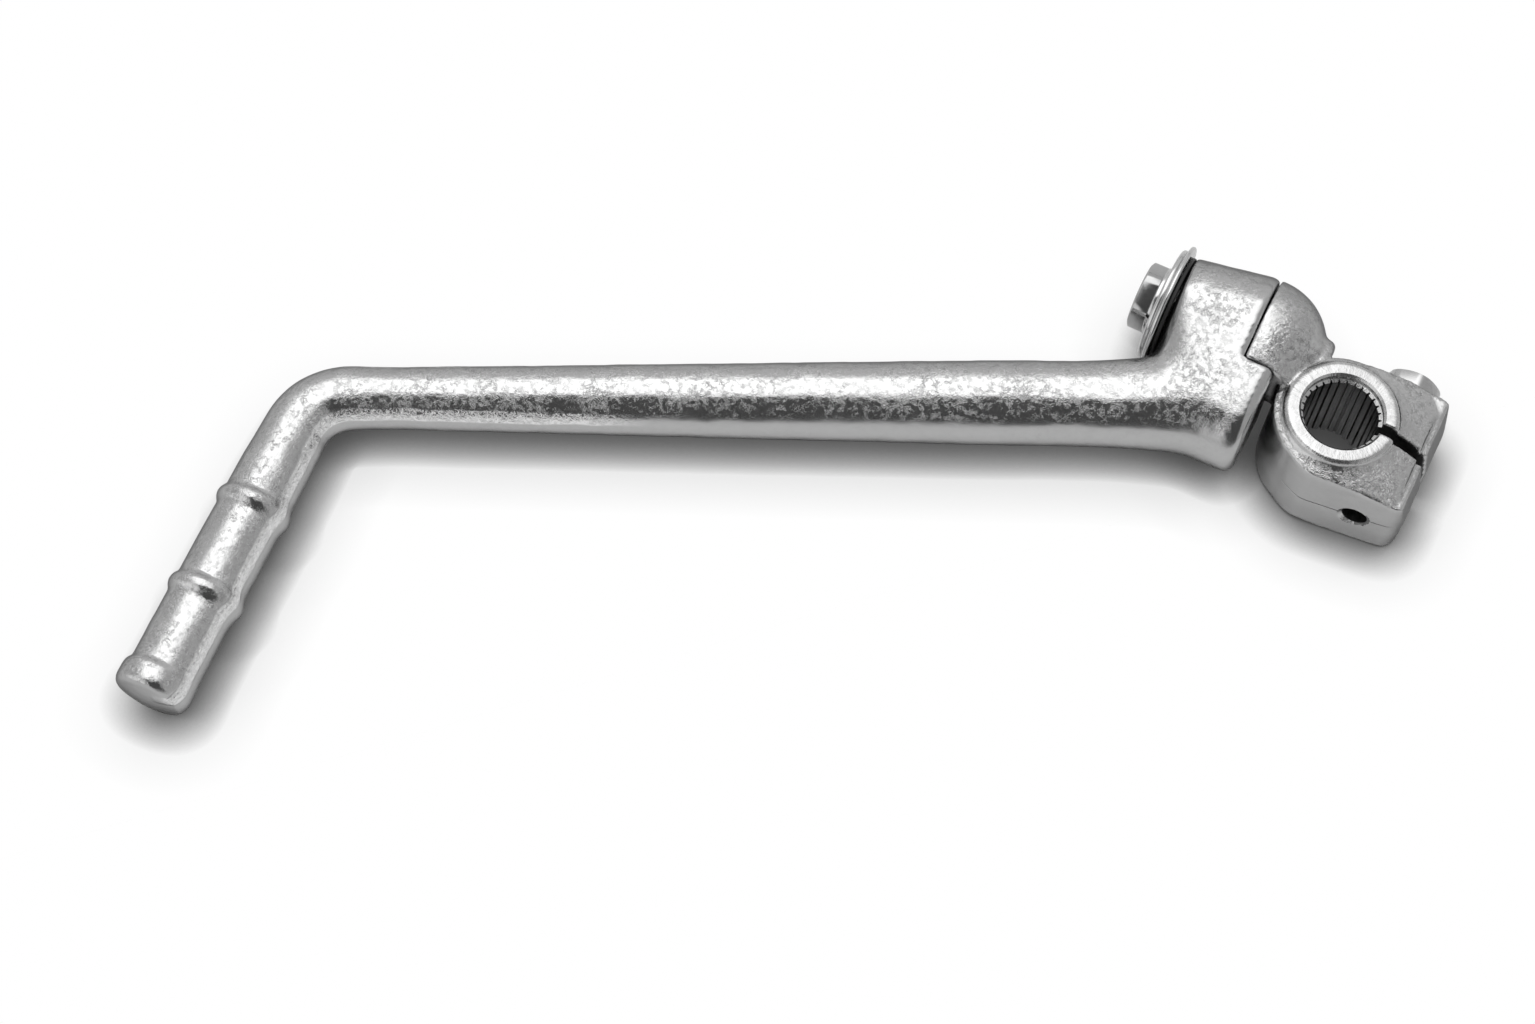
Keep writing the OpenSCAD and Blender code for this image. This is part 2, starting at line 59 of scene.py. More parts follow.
# Sizes, in millimetres
MM = 0.001
HUB_H, HUB_R, RING_R, RING_STEP, SHOULDER_SLOPE = 22.5, 13.4, 10.8, 1.5, 22.5
RING_FLANK, RING_ROUND = 0.8, 1.2
EAR_H, EAR_REACH, NEAR_WALL, NEAR_TURN, FAR_WALL = 17.3, 20.0, 14.5, 6.0, 15.0
BELLY_R, BELLY_X, SLIT_W, EAR_CORNER_R, FOOT_EDGE_R = 15.0, 3.0, 2.1, 3.6, 1.2
EAR_END_START, EAR_END_LEAN, EAR_END_DROP, EAR_END_R = 0.55, 0.45, 0.9, 0.8
TIP_R, TOOTH_DEPTH, TEETH, GROOVE_SHARE, ROOT_SHARE = 7.5, 0.5, 30, 0.52, 0.34
LEAD_IN_R, LEAD_IN_DEPTH, MOUTH_CHAMFER = 8.2, 1.6, 0.45
PINCH_R, PINCH_X, PINCH_Z, PINCH_LEN = 3.0, 10.5, 9.0, 22.0
PINCH_AF, PINCH_HEAD_H, PINCH_TURN, TAPPING_R = 11.0, 4.8, 18.0, 2.6
PIVOT_Y, PIVOT_Z, KNUCKLE_FACE, EYE_FACE = 11.4, 14.0, 21.85, 22.15
RIM_R, RIM_W, BOSS_RIM_R, BOSS_FLAT, CHEEK_DEPTH = 0.6, 1.7, 0.25, 0.7, 12.5
NECK_START, NECK_R, NECK_ROUND, VALLEY_X = 6.6, 6.5, 1.5, -11.5
BOSS_R, SPIGOT_R, STOP_DIST, STOP_GAP, SWEEP_ROOM = 13.7, 6.8, 10.3, 0.1, 0.35
FOOT_END, RELIEF_END = 15.15, 13.05
EYE_LEN, EYE_OUTER_R, EYE_EDGE_R, EYE_EDGE_W = 17.4, 11.3, 0.35, 0.7
FOOT_R, FOOT_Y, FOOT_Z, FOOT_END_R = 10.4, 6.1, 12.2, 2.7
ARM_LEN, ARM_YAW, ARM_TIP_R, ARM_ROOT_R, FLARE_LEN = 179.6, 25.9, 6.4, 8.8, 32.0
BEND_TUBE_R, BEND_R, BEND_FADE = 6.7, 11.5, 9.0
PEDAL_YAW, PEDAL_R, RIB_OUTER_R, RIB_OFFSET, RIB_R = 5.0, 7.1, 8.2, 0.2, 2.2
RIB_START, RIB_PITCH, RIB_COUNT, COLLAR_LEN, COLLAR_EDGE_R, DOME_R = 27.0, 20.6, 2, 7.2, 2.2, 24.0
COLLAR_LEAN, COLLAR_SQUEEZE, TRIM_Z, TRIM_W, FLASH_H = 0.3, 0.94, 3.2, 1.3, 0.16
BOLT_R, BOLT_GRIP, BOLT_AF, BOLT_HEAD_H, BOLT_TURN = 4.0, 16.0, 13.0, 3.5, 3.0
HEX_CORNER_R, HOLE_R, EDGE_BREAK = 2.6, 4.15, 0.1
SEAL_T, SEAL_R, SEAL_W = 0.8, 11.0, 2.4
COVER_R, COVER_T, RETAINING_R, RETAINING_T = 13.1, 0.95, 11.8, 1.35
SPRING_R, SPRING_T, SPRING_EDGE_R = 7.2, 1.1, 0.3
RIPPLE_CENTRE, RIPPLE_PITCH, RIPPLE_REACH, PARTING_Z = (-14.1, 7.0, 27.0), 0.85, 6.5, 9.4
BALL_R, BALL_RING_R, POCKET_DEPTH, TRACK_DEPTH, DIMPLE_DROP = 1.75, 9.6, 7.5, 0.4, 0.4
ROOT_CENTRE = (-44.0, -7.0, 15.0)

# How far shapes that fuse are drawn back from each other's skin, and the grid that closes them
HAIR, FOOT_INSET, WEB_INSET, NUDGE = 0.03, 0.05, 0.15, 0.01
KNUCKLE_GRID, LEVER_GRID = 0.34, 0.475
CUT_LOW, CUT_HIGH, FAR_OUT = -5, 40, 60

# Depths of the fine relief, in metres, and the zinc's grey
SKIN_DEPTH, LINE_DEPTH, CHATTER_DEPTH = 0.00017, 0.00015, 0.00013
DRAG_DEPTH, TURNING_DEPTH = 0.00003, 0.000012
ZINC_TONE = 0.60

EYE_END = EYE_FACE + EYE_LEN
SEAL_END = EYE_END + SEAL_T
SPIGOT_END = SEAL_END + STOP_GAP
COVER_END = SPIGOT_END + COVER_T
RETAINING_END = COVER_END + RETAINING_T
SPRING_END = RETAINING_END + SPRING_T
FOOT_FACE = STOP_DIST - STOP_GAP / 2
STOP_FACE = FOOT_FACE - STOP_GAP
CORE_R = FOOT_FACE - SWEEP_ROOM
SHOULDER_R = RING_R + RING_FLANK
SHOULDER_Z = HUB_H - RING_STEP
EAR_TOP_R = SHOULDER_R + (SHOULDER_Z - EAR_H) / tan(SHOULDER_SLOPE)
HUB_SHOULDER_Z = SHOULDER_Z - (HUB_R - SHOULDER_R) * tan(SHOULDER_SLOPE)
NEAR_FACE_Y = (NEAR_WALL - PINCH_X * sin(NEAR_TURN)) / cos(NEAR_TURN)
BALL_X = EYE_FACE + TRACK_DEPTH - BALL_R

FOOT_CENTRE = Vector((-(EYE_FACE + FOOT_R / 2), -FOOT_Y, FOOT_Z))
PEDAL_Z = RIB_OUTER_R
ARM_WAY = Vector((-cos(ARM_YAW), -sin(ARM_YAW), 0))
CORNER = Vector((FOOT_CENTRE.x + ARM_LEN * ARM_WAY.x, FOOT_CENTRE.y + ARM_LEN * ARM_WAY.y, PEDAL_Z))
PEDAL_HEADING = PEDAL_YAW - 90
ARM_TURN = ARM_YAW - PEDAL_HEADING
BEND_ANGLE = 180 - ARM_TURN
ARM_RISE = math.degrees(math.asin((FOOT_Z - PEDAL_Z) / (ARM_LEN * sin(ARM_TURN))))
BEND_SETBACK = BEND_R * tan(BEND_ANGLE / 2)
PEDAL_END = RIB_START + RIB_COUNT * RIB_PITCH + COLLAR_LEN / 2

ALONG_X = rotation(90, "Y")
LEVER_PLANE = Matrix.Translation(CORNER) @ rotation(PEDAL_HEADING, "Z") @ rotation(ARM_RISE, "X")
PEDAL_SIDE, PEDAL_UP = (Vector(LEVER_PLANE.to_3x3().col[k]) for k in (1, 2))
PEDAL_AXIS = LEVER_PLANE @ ALONG_X
ARM_AXIS = LEVER_PLANE @ rotation(ARM_TURN, "Z") @ ALONG_X

# Directions of the studio: the camera looks along LOOK, FAR is away from it along the floor
RIGHT = Vector((0.89101, 0.45399, 0))
LOOK = Vector((-0.19187, 0.37656, -0.90631))
UP = Vector((-0.41145, 0.80753, 0.42263))
FAR = Vector((-0.45399, 0.89101, 0))
LIGHT_FROM = (Vector((0, 0, 1)) + 0.42 * FAR - 0.06 * RIGHT).normalized()
SKY_FILL = 0.21


def on_hinge(start=0.0):
    """Placement that turns a shape drawn along +Z so that it runs out along the hinge from start."""
    return Matrix.Translation((-start, PIVOT_Y, PIVOT_Z)) @ rotation(-90, "Y")


# Workshop: meshes
def lay_out(name, data):
    """An object with this mesh, lamp or camera, in the scene."""
    made = bpy.data.objects.new(name, data)
    bpy.context.scene.collection.objects.link(made)
    return made


def blank(name, verts, faces):
    """A closed mesh object in millimetres, with its faces turned outwards."""
    mesh = bpy.data.meshes.new(name)
    mesh.from_pydata([tuple(v) for v in verts], [], faces)
    shape = bmesh.new()
    shape.from_mesh(mesh)
    bmesh.ops.recalc_face_normals(shape, faces=shape.faces)
    shape.to_mesh(mesh)
    shape.free()
    return lay_out(name, mesh)


def arc(centre, radius, start, end, steps=10):
    """Points of an arc in a profile, from start to end in degrees."""
    angles = np.linspace(start, end, steps + 1)
    return [(centre[0] + radius * cos(a), centre[1] + radius * sin(a)) for a in angles]


def turned(name, profile, place=Matrix.Identity(4), steps=144, hollow=False):
    """A shape turned about its axis from (radius, height) pairs: a solid from pole to pole, or a ring."""
    verts, rings, faces = [], [], []
    for r, h in profile:
        if r < 1e-6:
            rings.append([len(verts)] * steps)
            verts.append((0, 0, h))
        else:
            rings.append(range(len(verts), len(verts) + steps))
            angles = [2 * math.pi * k / steps for k in range(steps)]
            verts += [(r * math.cos(a), r * math.sin(a), h) for a in angles]
    pairs = list(zip(rings, rings[1:])) + ([(rings[-1], rings[0])] if hollow else [])
    for low, high in pairs:
        for k in range(steps):
            j = (k + 1) % steps
            corners = [low[k], low[j], high[j], high[k]]
            face = [c for i, c in enumerate(corners) if c not in corners[:i]]
            if len(face) > 2:
                faces.append(face)
    return blank(name, [place @ Vector(v) for v in verts], faces)


def rod(name, radius, low, high, place=Matrix.Identity(4), steps=144):
    return turned(name, [(0, low), (radius, low), (radius, high), (0, high)], place, steps)


def rounded_outline(low, high, radii=(0, 0, 0, 0)):
    """A rectangle's outline with its own radius at each corner, from the low left one on."""
    (x0, y0), (x1, y1) = low, high
    spots = [(x0, y0, 180, 1, 1), (x1, y0, 270, -1, 1), (x1, y1, 0, -1, -1), (x0, y1, 90, 1, -1)]
    points = []
    for (x, y, start, sx, sy), r in zip(spots, radii):
        points += arc((x + sx * r, y + sy * r), r, start, start + 90) if r else [(x, y)]
    return points


def prism(name, outline, low, high, place=Matrix.Identity(4)):
    """An outline in x and y, drawn up from low to high."""
    n = len(outline)
    verts = [place @ Vector((x, y, z)) for z in (low, high) for x, y in outline]
    faces = [list(range(n))[::-1], list(range(n, 2 * n))]
    faces += [[k, (k + 1) % n, n + (k + 1) % n, n + k] for k in range(n)]
    return blank(name, verts, faces)


def block(name, low, high, place=Matrix.Identity(4)):
    return prism(name, rounded_outline(low[:2], high[:2]), low[2], high[2], place)


def root_section(x, boss_r, foot_r, steps=120):
    """Two circles across the hinge at this x: round the hinge axis and round the foot's axis."""
    points = []
    for k in range(steps):
        a = math.tau * k / steps
        points.append((x, PIVOT_Y + boss_r * math.cos(a), PIVOT_Z + boss_r * math.sin(a)))
        points.append((x, FOOT_CENTRE.y + foot_r * math.cos(a), FOOT_CENTRE.z + foot_r * math.sin(a)))
    return points


def cast(name, shape):
    """An object of what the bmesh holds."""
    mesh = bpy.data.meshes.new(name)
    shape.to_mesh(mesh)
    shape.free()
    return lay_out(name, mesh)


def wrapped(name, points):
    """The smallest shape without hollows that holds all the points."""
    shape = bmesh.new()
    for point in points:
        shape.verts.new(point)
    bmesh.ops.convex_hull(shape, input=shape.verts)
    bmesh.ops.delete(shape, geom=[v for v in shape.verts if not v.link_faces], context="VERTS")
    return cast(name, shape)


def discard(*pieces):
    for piece in pieces:
        mesh = piece.data
        bpy.data.objects.remove(piece)
        if mesh.users == 0:
            bpy.data.meshes.remove(mesh)


def settle(piece):
    """Applies the piece's modifiers to its mesh."""
    graph = bpy.context.evaluated_depsgraph_get()
    mesh = bpy.data.meshes.new_from_object(piece.evaluated_get(graph))
    piece.modifiers.clear()
    piece.data = mesh
    return piece


def combine(operation, base, *tools):
    """Cuts the tools from the base, adds them to it, or keeps what they share."""
    for tool in tools:
        step = base.modifiers.new("step", "BOOLEAN")
        step.operation, step.solver, step.object = operation, "MANIFOLD", tool
    settle(base)
    discard(*tools)
    return base


def fuse(name, parts, voxel):
    """One skin over closed shapes that overlap, as a die would close it."""
    shape = bmesh.new()
    for part in parts:
        shape.from_mesh(part.data)
    discard(*parts)
    piece = cast(name, shape)
    skin = piece.modifiers.new("skin", "REMESH")
    skin.mode, skin.voxel_size, skin.adaptivity = "VOXEL", voxel, 0.0
    return settle(piece)


def points_of(piece, layer="co"):
    """The places of a mesh's points, or with layer normal the ways they face."""
    values = np.empty(len(piece.data.vertices) * 3)
    piece.data.vertices.foreach_get(layer, values)
    return values.reshape(-1, 3)


def put_points(piece, co):
    piece.data.vertices.foreach_set("co", np.ascontiguousarray(co, dtype=np.float32).ravel())
    piece.data.update()


def relax(piece, rounds, weight=None, keep_size=True):
    """Evens the skin out. With keep_size it leaves forms their size, without it hollows fill up."""
    co, n = points_of(piece), len(piece.data.vertices)
    ends = np.empty(len(piece.data.edges) * 2, dtype=np.int64)
    piece.data.edges.foreach_get("vertices", ends)
    a, b = ends.reshape(-1, 2).T
    degree = (np.bincount(a, minlength=n) + np.bincount(b, minlength=n))[:, None]
    share = np.ones((n, 1)) if weight is None else weight(co)[:, None]
    for _ in range(rounds):
        for step in (0.5, -0.52) if keep_size else (0.5,):
            near = np.stack(
                [np.bincount(a, co[b, k], n) + np.bincount(b, co[a, k], n) for k in range(3)], 1
            ) / degree
            co = co + share * step * (near - co)
    put_points(piece, co)


def bell(distance, width):
    return np.exp(-((distance / width) ** 2))


def hammer(piece, waves, fade):
    """Moves the skin in and out by soft noise: waves are (length, height) pairs in millimetres."""
    co = points_of(piece)
    lift = np.zeros(len(co))
    for k, (length, height) in enumerate(waves):
        shift = Vector((17.3 * k, 5.1, 9.7))
        lift += height * np.array([noise.noise(Vector(p) / length + shift) for p in co])
    lift *= fade(co)
    put_points(piece, co + lift[:, None] * points_of(piece, "normal"))


def finish_piece(piece, body, node, finishes, smooth_angle=38, pick=None):
    """Brings a piece to metres, gives it its finishes, and lets it ride on its body in place of its node."""
    piece.data.transform(Matrix.Scale(MM, 4))
    mesh = piece.data
    mesh.materials.clear()
    for finish in finishes:
        mesh.materials.append(finish)
    mesh.polygons.foreach_set("use_smooth", [True] * len(mesh.polygons))
    mesh.set_sharp_from_angle(angle=math.radians(smooth_angle))
    if pick is not None:
        centres, ways = np.empty(len(mesh.polygons) * 3), np.empty(len(mesh.polygons) * 3)
        mesh.polygons.foreach_get("center", centres)
        mesh.polygons.foreach_get("normal", ways)
        chosen = pick(centres.reshape(-1, 3) / MM, ways.reshape(-1, 3))
        mesh.polygons.foreach_set("material_index", chosen.astype(np.int32))
    mesh.update()
    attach(piece, body)
    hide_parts(node)


# Workshop: geometry trees
def tree_of(name, inputs):
    """An empty geometry tree with a Geometry output and named number inputs."""
    tree = bpy.data.node_groups.new(name, "GeometryNodeTree")
    tree.interface.new_socket("Geometry", in_out="OUTPUT", socket_type="NodeSocketGeometry")
    for label, value in inputs.items():
        kind = "NodeSocketInt" if isinstance(value, int) else "NodeSocketFloat"
        tree.interface.new_socket(label, in_out="INPUT", socket_type=kind).default_value = value
    return tree, tree.nodes.new("NodeGroupInput").outputs


def add(tree, kind, settings=None, **sockets):
    """A node of a tree. Sockets are given by name, with _ for a space, or as i and their number."""
    node = tree.nodes.new(kind)
    for key, value in (settings or {}).items():
        setattr(node, key, value)
    for key, value in sockets.items():
        spot = node.inputs[int(key[1:]) if key[1:].isdigit() else key.replace("_", " ")]
        if isinstance(value, bpy.types.NodeSocket):
            tree.links.new(value, spot)
        else:
            spot.default_value = value
    return node.outputs[0] if node.outputs else None


def maths(tree, operation, first, second=0.0):
    return add(tree, "ShaderNodeMath", {"operation": operation}, i0=first, i1=second)


def grow(name, tree, geometry, finish):
    """Closes a geometry tree, runs it on an empty object and keeps the plain mesh."""
    real = add(tree, "GeometryNodeRealizeInstances", Geometry=geometry)
    dressed = add(tree, "GeometryNodeSetMaterial", Geometry=real, Material=finish)
    add(tree, "NodeGroupOutput", i0=dressed)
    piece = lay_out(name, bpy.data.meshes.new(name))
    piece.modifiers.new("grow", "NODES").node_group = tree
    return settle(piece)


def serration_grooves(finish):
    """The grooves between the bore's teeth, as one broach of separate bars."""
    tree, take = tree_of("serration grooves", {
        "Teeth": TEETH, "Tip radius": TIP_R, "Depth": TOOTH_DEPTH,
        "Mouth width": 2 * TIP_R * sin(360 / TEETH * GROOVE_SHARE / 2), "Root share": ROOT_SHARE,
        "Height": HUB_H + 4,
    })
    depth = maths(tree, "MULTIPLY", take["Depth"], 2.0)
    bar_size = add(tree, "ShaderNodeCombineXYZ", X=depth, Y=take["Mouth width"], Z=take["Height"])
    bar = add(tree, "GeometryNodeMeshCube", Size=bar_size)
    spot = add(tree, "ShaderNodeSeparateXYZ", Vector=add(tree, "GeometryNodeInputPosition")).node.outputs
    half = maths(tree, "ADD", maths(tree, "DIVIDE", spot[0], depth), 0.5)
    taper = add(tree, "ShaderNodeMapRange", i0=half, i3=1.0, i4=take["Root share"])
    narrowed = add(
        tree, "ShaderNodeCombineXYZ", X=maths(tree, "ADD", spot[0], take["Tip radius"]),
        Y=maths(tree, "MULTIPLY", spot[1], taper),
        Z=maths(tree, "ADD", spot[2], maths(tree, "MULTIPLY", take["Height"], 0.46)),
    )
    shaped = add(tree, "GeometryNodeSetPosition", Geometry=bar, Position=narrowed)
    line = add(tree, "GeometryNodeMeshLine", Count=take["Teeth"], Offset=(0, 0, 0))
    pitch = maths(tree, "DIVIDE", 2 * math.pi, take["Teeth"])
    step = maths(tree, "ADD", add(tree, "GeometryNodeInputIndex"), 0.5)
    turn = add(tree, "ShaderNodeCombineXYZ", Z=maths(tree, "MULTIPLY", step, pitch))
    around = add(tree, "GeometryNodeInstanceOnPoints", Points=line, Instance=shaped, Rotation=turn)
    return grow("broach", tree, around, finish)


def pedal_ribs(finish):
    """The rounded ribs round the pedal, spaced along its axis."""
    tree, take = tree_of("pedal ribs", {
        "Ribs": RIB_COUNT, "First rib": RIB_START, "Pitch": RIB_PITCH, "Outer radius": RIB_OUTER_R,
        "Back radius": RIB_R,
    })
    hoop_r = maths(tree, "SUBTRACT", take["Outer radius"], take["Back radius"])
    hoop = add(tree, "GeometryNodeCurvePrimitiveCircle", Resolution=160, Radius=hoop_r)
    back = add(tree, "GeometryNodeCurvePrimitiveCircle", Resolution=40, Radius=take["Back radius"])
    rib = add(tree, "GeometryNodeCurveToMesh", Curve=hoop, Profile_Curve=back)
    start = add(tree, "ShaderNodeCombineXYZ", Z=take["First rib"])
    pitch = add(tree, "ShaderNodeCombineXYZ", Z=take["Pitch"])
    line = add(tree, "GeometryNodeMeshLine", Count=take["Ribs"], Start_Location=start, Offset=pitch)
    along = add(tree, "GeometryNodeInstanceOnPoints", Points=line, Instance=rib)
    ribs = grow("ribs", tree, along, finish)
    ribs.data.transform(LEVER_PLANE @ Matrix.Translation((0, RIB_OFFSET, 0)) @ ALONG_X)
    return ribs


# Workshop: finishes
class Level:
    """A socket of a finish. Python's operators on it add Math nodes."""

    def __init__(self, finish, socket):
        self.finish, self.socket = finish, socket

    def _maths(self, operation, *values):
        return self.finish.node("ShaderNodeMath", {"operation": operation}, dict(enumerate(values)))

    def __add__(self, other):
        return self._maths("ADD", self, other)

    def __sub__(self, other):
        return self._maths("SUBTRACT", self, other)

    def __rsub__(self, other):
        return self._maths("SUBTRACT", other, self)

    def __mul__(self, other):
        return self._maths("MULTIPLY", self, other)

    def __truediv__(self, other):
        return self._maths("DIVIDE", self, other)

    def __pow__(self, other):
        return self._maths("POWER", self, other)

    __radd__, __rmul__ = __add__, __mul__

    def clip(self):
        return self._maths("MINIMUM", self._maths("MAXIMUM", self, 0.0), 1.0)

    def size(self):
        return self._maths("ABSOLUTE", self)

    def greater(self, other):
        return self._maths("MAXIMUM", self, other)

    def ramp(self, low, high):
        """0 at low, 1 at high, eased between them."""
        return self.finish.node(
            "ShaderNodeMapRange", {"interpolation_type": "SMOOTHSTEP"},
            {"Value": self, "From Min": low, "From Max": high},
        )

    def bump_line(self, centre, width):
        """1 on a line where this level has its centre value, fading over width on both sides."""
        return 1 - (self - centre).size().ramp(0.0, width)


class Finish:
    """A procedural material or sky built from nodes."""

    def __init__(self, name, world=False):
        self.owner = bpy.data.worlds.new(name) if world else bpy.data.materials.new(name)
        self.owner.use_nodes = True
        self.tree = self.owner.node_tree
        self.tree.nodes.clear()

    def node(self, kind, settings=None, sockets=None, out=0):
        made = self.tree.nodes.new(kind)
        for key, value in (settings or {}).items():
            setattr(made, key, value)
        for key, value in (sockets or {}).items():
            if isinstance(value, Level):
                self.tree.links.new(value.socket, made.inputs[key])
            else:
                made.inputs[key].default_value = value
        return Level(self, made.outputs[out]) if made.outputs else None

    def own_place(self):
        """The piece's own coordinates in metres."""
        return self.node("ShaderNodeTexCoord", out=3)

    def place(self):
        """The piece's own coordinates in millimetres."""
        return self.vectors("SCALE", {0: self.own_place(), "Scale": 1 / MM})

    def vectors(self, operation, sockets, out=0):
        return self.node("ShaderNodeVectorMath", {"operation": operation}, sockets, out)

    def parts(self, spot):
        split = self.node("ShaderNodeSeparateXYZ", {}, {0: spot}).socket.node
        return [Level(self, socket) for socket in split.outputs]

    def vector(self, x, y, z):
        return self.node("ShaderNodeCombineXYZ", {}, {0: x, 1: y, 2: z})

    def upward(self):
        """1 where the skin faces up, 0 where it stands and -1 where it faces down."""
        return self.parts(self.node("ShaderNodeTexCoord", out=1))[2]

    def along(self, spot, way):
        return self.vectors("DOT_PRODUCT", {0: spot, 1: tuple(way)}, out=1)

    def noise(self, spot, length, detail=2.0, rough=0.5, warp=0.0):
        """Noise from 0 to 1 with waves of this length in millimetres."""
        return self.node("ShaderNodeTexNoise", {}, {
            "Vector": spot, "Scale": 1.0 / length, "Detail": detail, "Roughness": rough, "Distortion": warp,
        })

    def open_share(self, reach, **normal):
        """How much of what a place sees is open within this reach in metres."""
        sockets = {"Distance": reach, **normal}
        return self.node("ShaderNodeAmbientOcclusion", {"samples": 16}, sockets, out=1)

    def rays(self, label):
        """1 for rays of this kind."""
        return Level(self, self.node("ShaderNodeLightPath").socket.node.outputs[label])

    def grey(self, value):
        """A grey level as a colour."""
        return self.node("ShaderNodeCombineColor", {}, {0: value, 1: value, 2: value})

    def bump(self, height, depth, **under):
        return self.node("ShaderNodeBump", {}, {"Height": height, "Distance": depth, **under})

    def close(self, **sockets):
        """Ends the finish in a Principled shader. Names are the shader's sockets, with _ for a space."""
        named = {key.replace("_", " "): value for key, value in sockets.items()}
        shader = self.node("ShaderNodeBsdfPrincipled", {}, named)
        self.node("ShaderNodeOutputMaterial", {}, {0: shader})
        return self.owner


def crinkle(finish, spot):
    """The skin of a hot forging under its plating: creases about a millimetre long over softer dents."""
    sway = finish.noise(spot, length=5.0)
    drift = finish.node("ShaderNodeTexNoise", {}, {"Vector": spot, "Scale": 0.8, "Detail": 2.0}, out=1)
    bent = finish.vectors("MULTIPLY_ADD", {0: drift, 1: (1.6, 1.6, 1.6), 2: spot})
    creases = finish.noise(bent, length=1.1, detail=3.0, rough=0.6, warp=1.8)
    broken = finish.noise(spot, length=1.3, detail=1.0).ramp(0.4, 0.6)
    folds = 1 - creases.bump_line(0.5, 0.10) * broken
    dents = finish.noise(bent, length=1.5, warp=0.8)
    strokes = finish.noise(bent, length=0.62, detail=2.5, rough=0.6, warp=1.2)
    grain = finish.noise(spot, length=0.3, rough=0.6)
    patches = finish.noise(spot, length=6.5, detail=1.5).ramp(0.34, 0.62)
    return folds, dents, strokes, grain, sway, patches


def forged_zinc(name, masks):
    """Bright zinc plating on a forging. masks(finish, spot) says how crinkled, scored, dull and bright; where
    the scoring cuts in, the tone is darker too, as painted shade in the grooves.
    """
    finish = Finish(name)
    spot = finish.place()
    folds, dents, strokes, grain, sway, patches = crinkle(finish, spot)
    rough_skin, line, polish, bright = masks(finish, spot)
    relief = rough_skin * (patches * 0.65 + 0.35) + 0.04
    height = folds * 0.16 + dents * 0.22 + strokes * 0.30 + grain * 0.12
    skin = finish.bump(height * relief, SKIN_DEPTH)
    skin = finish.bump(line * -1.0, LINE_DEPTH, Normal=skin)
    marks = (folds - 0.7) * 0.14 + (dents - 0.5) * 0.10 + (grain - 0.5) * 0.08
    tone = ZINC_TONE + marks * (relief * 0.8 + 0.2)
    # Painted shade: a positive line mask (the knuckle's parting line and boss ripples) darkens the tone in
    # their grooves; the lever's negative line, its flakes, lightens it.
    tone = tone + (sway - 0.5) * 0.06 - line * 0.25 + bright * 0.38 + (strokes - 0.5) * relief * 0.34
    roughness = 0.16 + (dents - 0.5) * 0.12 * rough_skin + (sway - 0.5) * 0.08 + polish * 0.07
    return finish.close(
        Base_Color=finish.grey(tone.clip()), Metallic=1.0, Roughness=roughness.clip(), Normal=skin,
        Specular_Tint=(0.3, 0.3, 0.3, 1.0),
    )


def lever_masks(finish, spot):
    """The lever is crinkled on top, smooth on its ends and sides, and scarred where its flash was trimmed."""
    x, y, _ = finish.parts(spot)
    rim = x.ramp(-25.2, -23.6) * y.ramp(0.5, 2.5)
    rim = rim.greater(x.ramp(-19.5, -17.5)).greater(x.ramp(2.2 - EYE_END, 1.2 - EYE_END) * y.ramp(-2.0, 1.0))
    sway = finish.noise(spot, length=6.0, detail=1.0)
    top = (finish.upward() + (sway - 0.5) * 0.3).ramp(0.5, 0.8)
    inside = finish.along(spot, PEDAL_SIDE) - PEDAL_SIDE.dot(CORNER)
    height = finish.along(spot, PEDAL_UP) - PEDAL_UP.dot(CORNER) + (sway - 0.5) * 0.8
    scar = finish.noise(spot, length=1.1, detail=3.0, rough=0.65, warp=1.0)
    band = (height - TRIM_Z).size().ramp(TRIM_W + 0.2, TRIM_W - 0.3)
    trimmed = band * inside.ramp(3.0, 5.0) * x.ramp(-120.0, -140.0)
    flakes = trimmed * scar.ramp(0.38, 0.62)
    bright = trimmed * (scar.ramp(0.3, 0.6) * 0.5 + 0.5)
    untouched = 1 - trimmed
    return top * (1 - rim * 0.95) * untouched, flakes * -0.4, (1 - top) * untouched, bright


def knuckle_masks(finish, spot):
    """The knuckle's walls are smooth with a parting line, its top is crinkled, its boss has ripples."""
    x, y, z = finish.parts(spot)
    axis_r = (x * x + y * y) ** 0.5
    up = finish.upward()
    on_ring = axis_r.ramp(RING_R - 0.3, RING_R - 0.8) * z.ramp(HUB_H - 0.5, HUB_H - 0.2)
    top = up.ramp(0.35, 0.75) * (1 - on_ring)
    seam = x.ramp(-18.0, -20.5)
    wave = finish.noise(spot, length=9.0, detail=1.0)
    wall = up.size().bump_line(0.0, 0.35)
    # The parting line and the ripples cut into the skin, and forged_zinc darkens their tone as painted shade
    # in that groove and in the ripples' troughs.
    line = (z + (wave - 0.5) * 0.8).bump_line(PARTING_Z, 0.16) * wall * (-12.0 - y).ramp(0.0, 1.2)
    away = finish.vectors("DISTANCE", {0: spot, 1: RIPPLE_CENTRE}, out=1)
    bent = away + (finish.noise(spot, length=1.6, rough=0.6) - 0.5) * 1.5
    waves = finish.node("ShaderNodeMath", {"operation": "SINE"}, {0: bent * (math.tau / RIPPLE_PITCH)})
    ripples = (waves * 0.5 + 0.5) * away.ramp(RIPPLE_REACH, RIPPLE_REACH * 0.55) * x.ramp(-21.0, -19.5)
    broken = finish.noise(spot, length=1.3, detail=1.0).ramp(0.35, 0.6) * 0.6 + 0.4
    return top * (1 - seam * 0.5) * 1.5, line.greater(ripples * broken * 0.42), 1 - top, 0.0


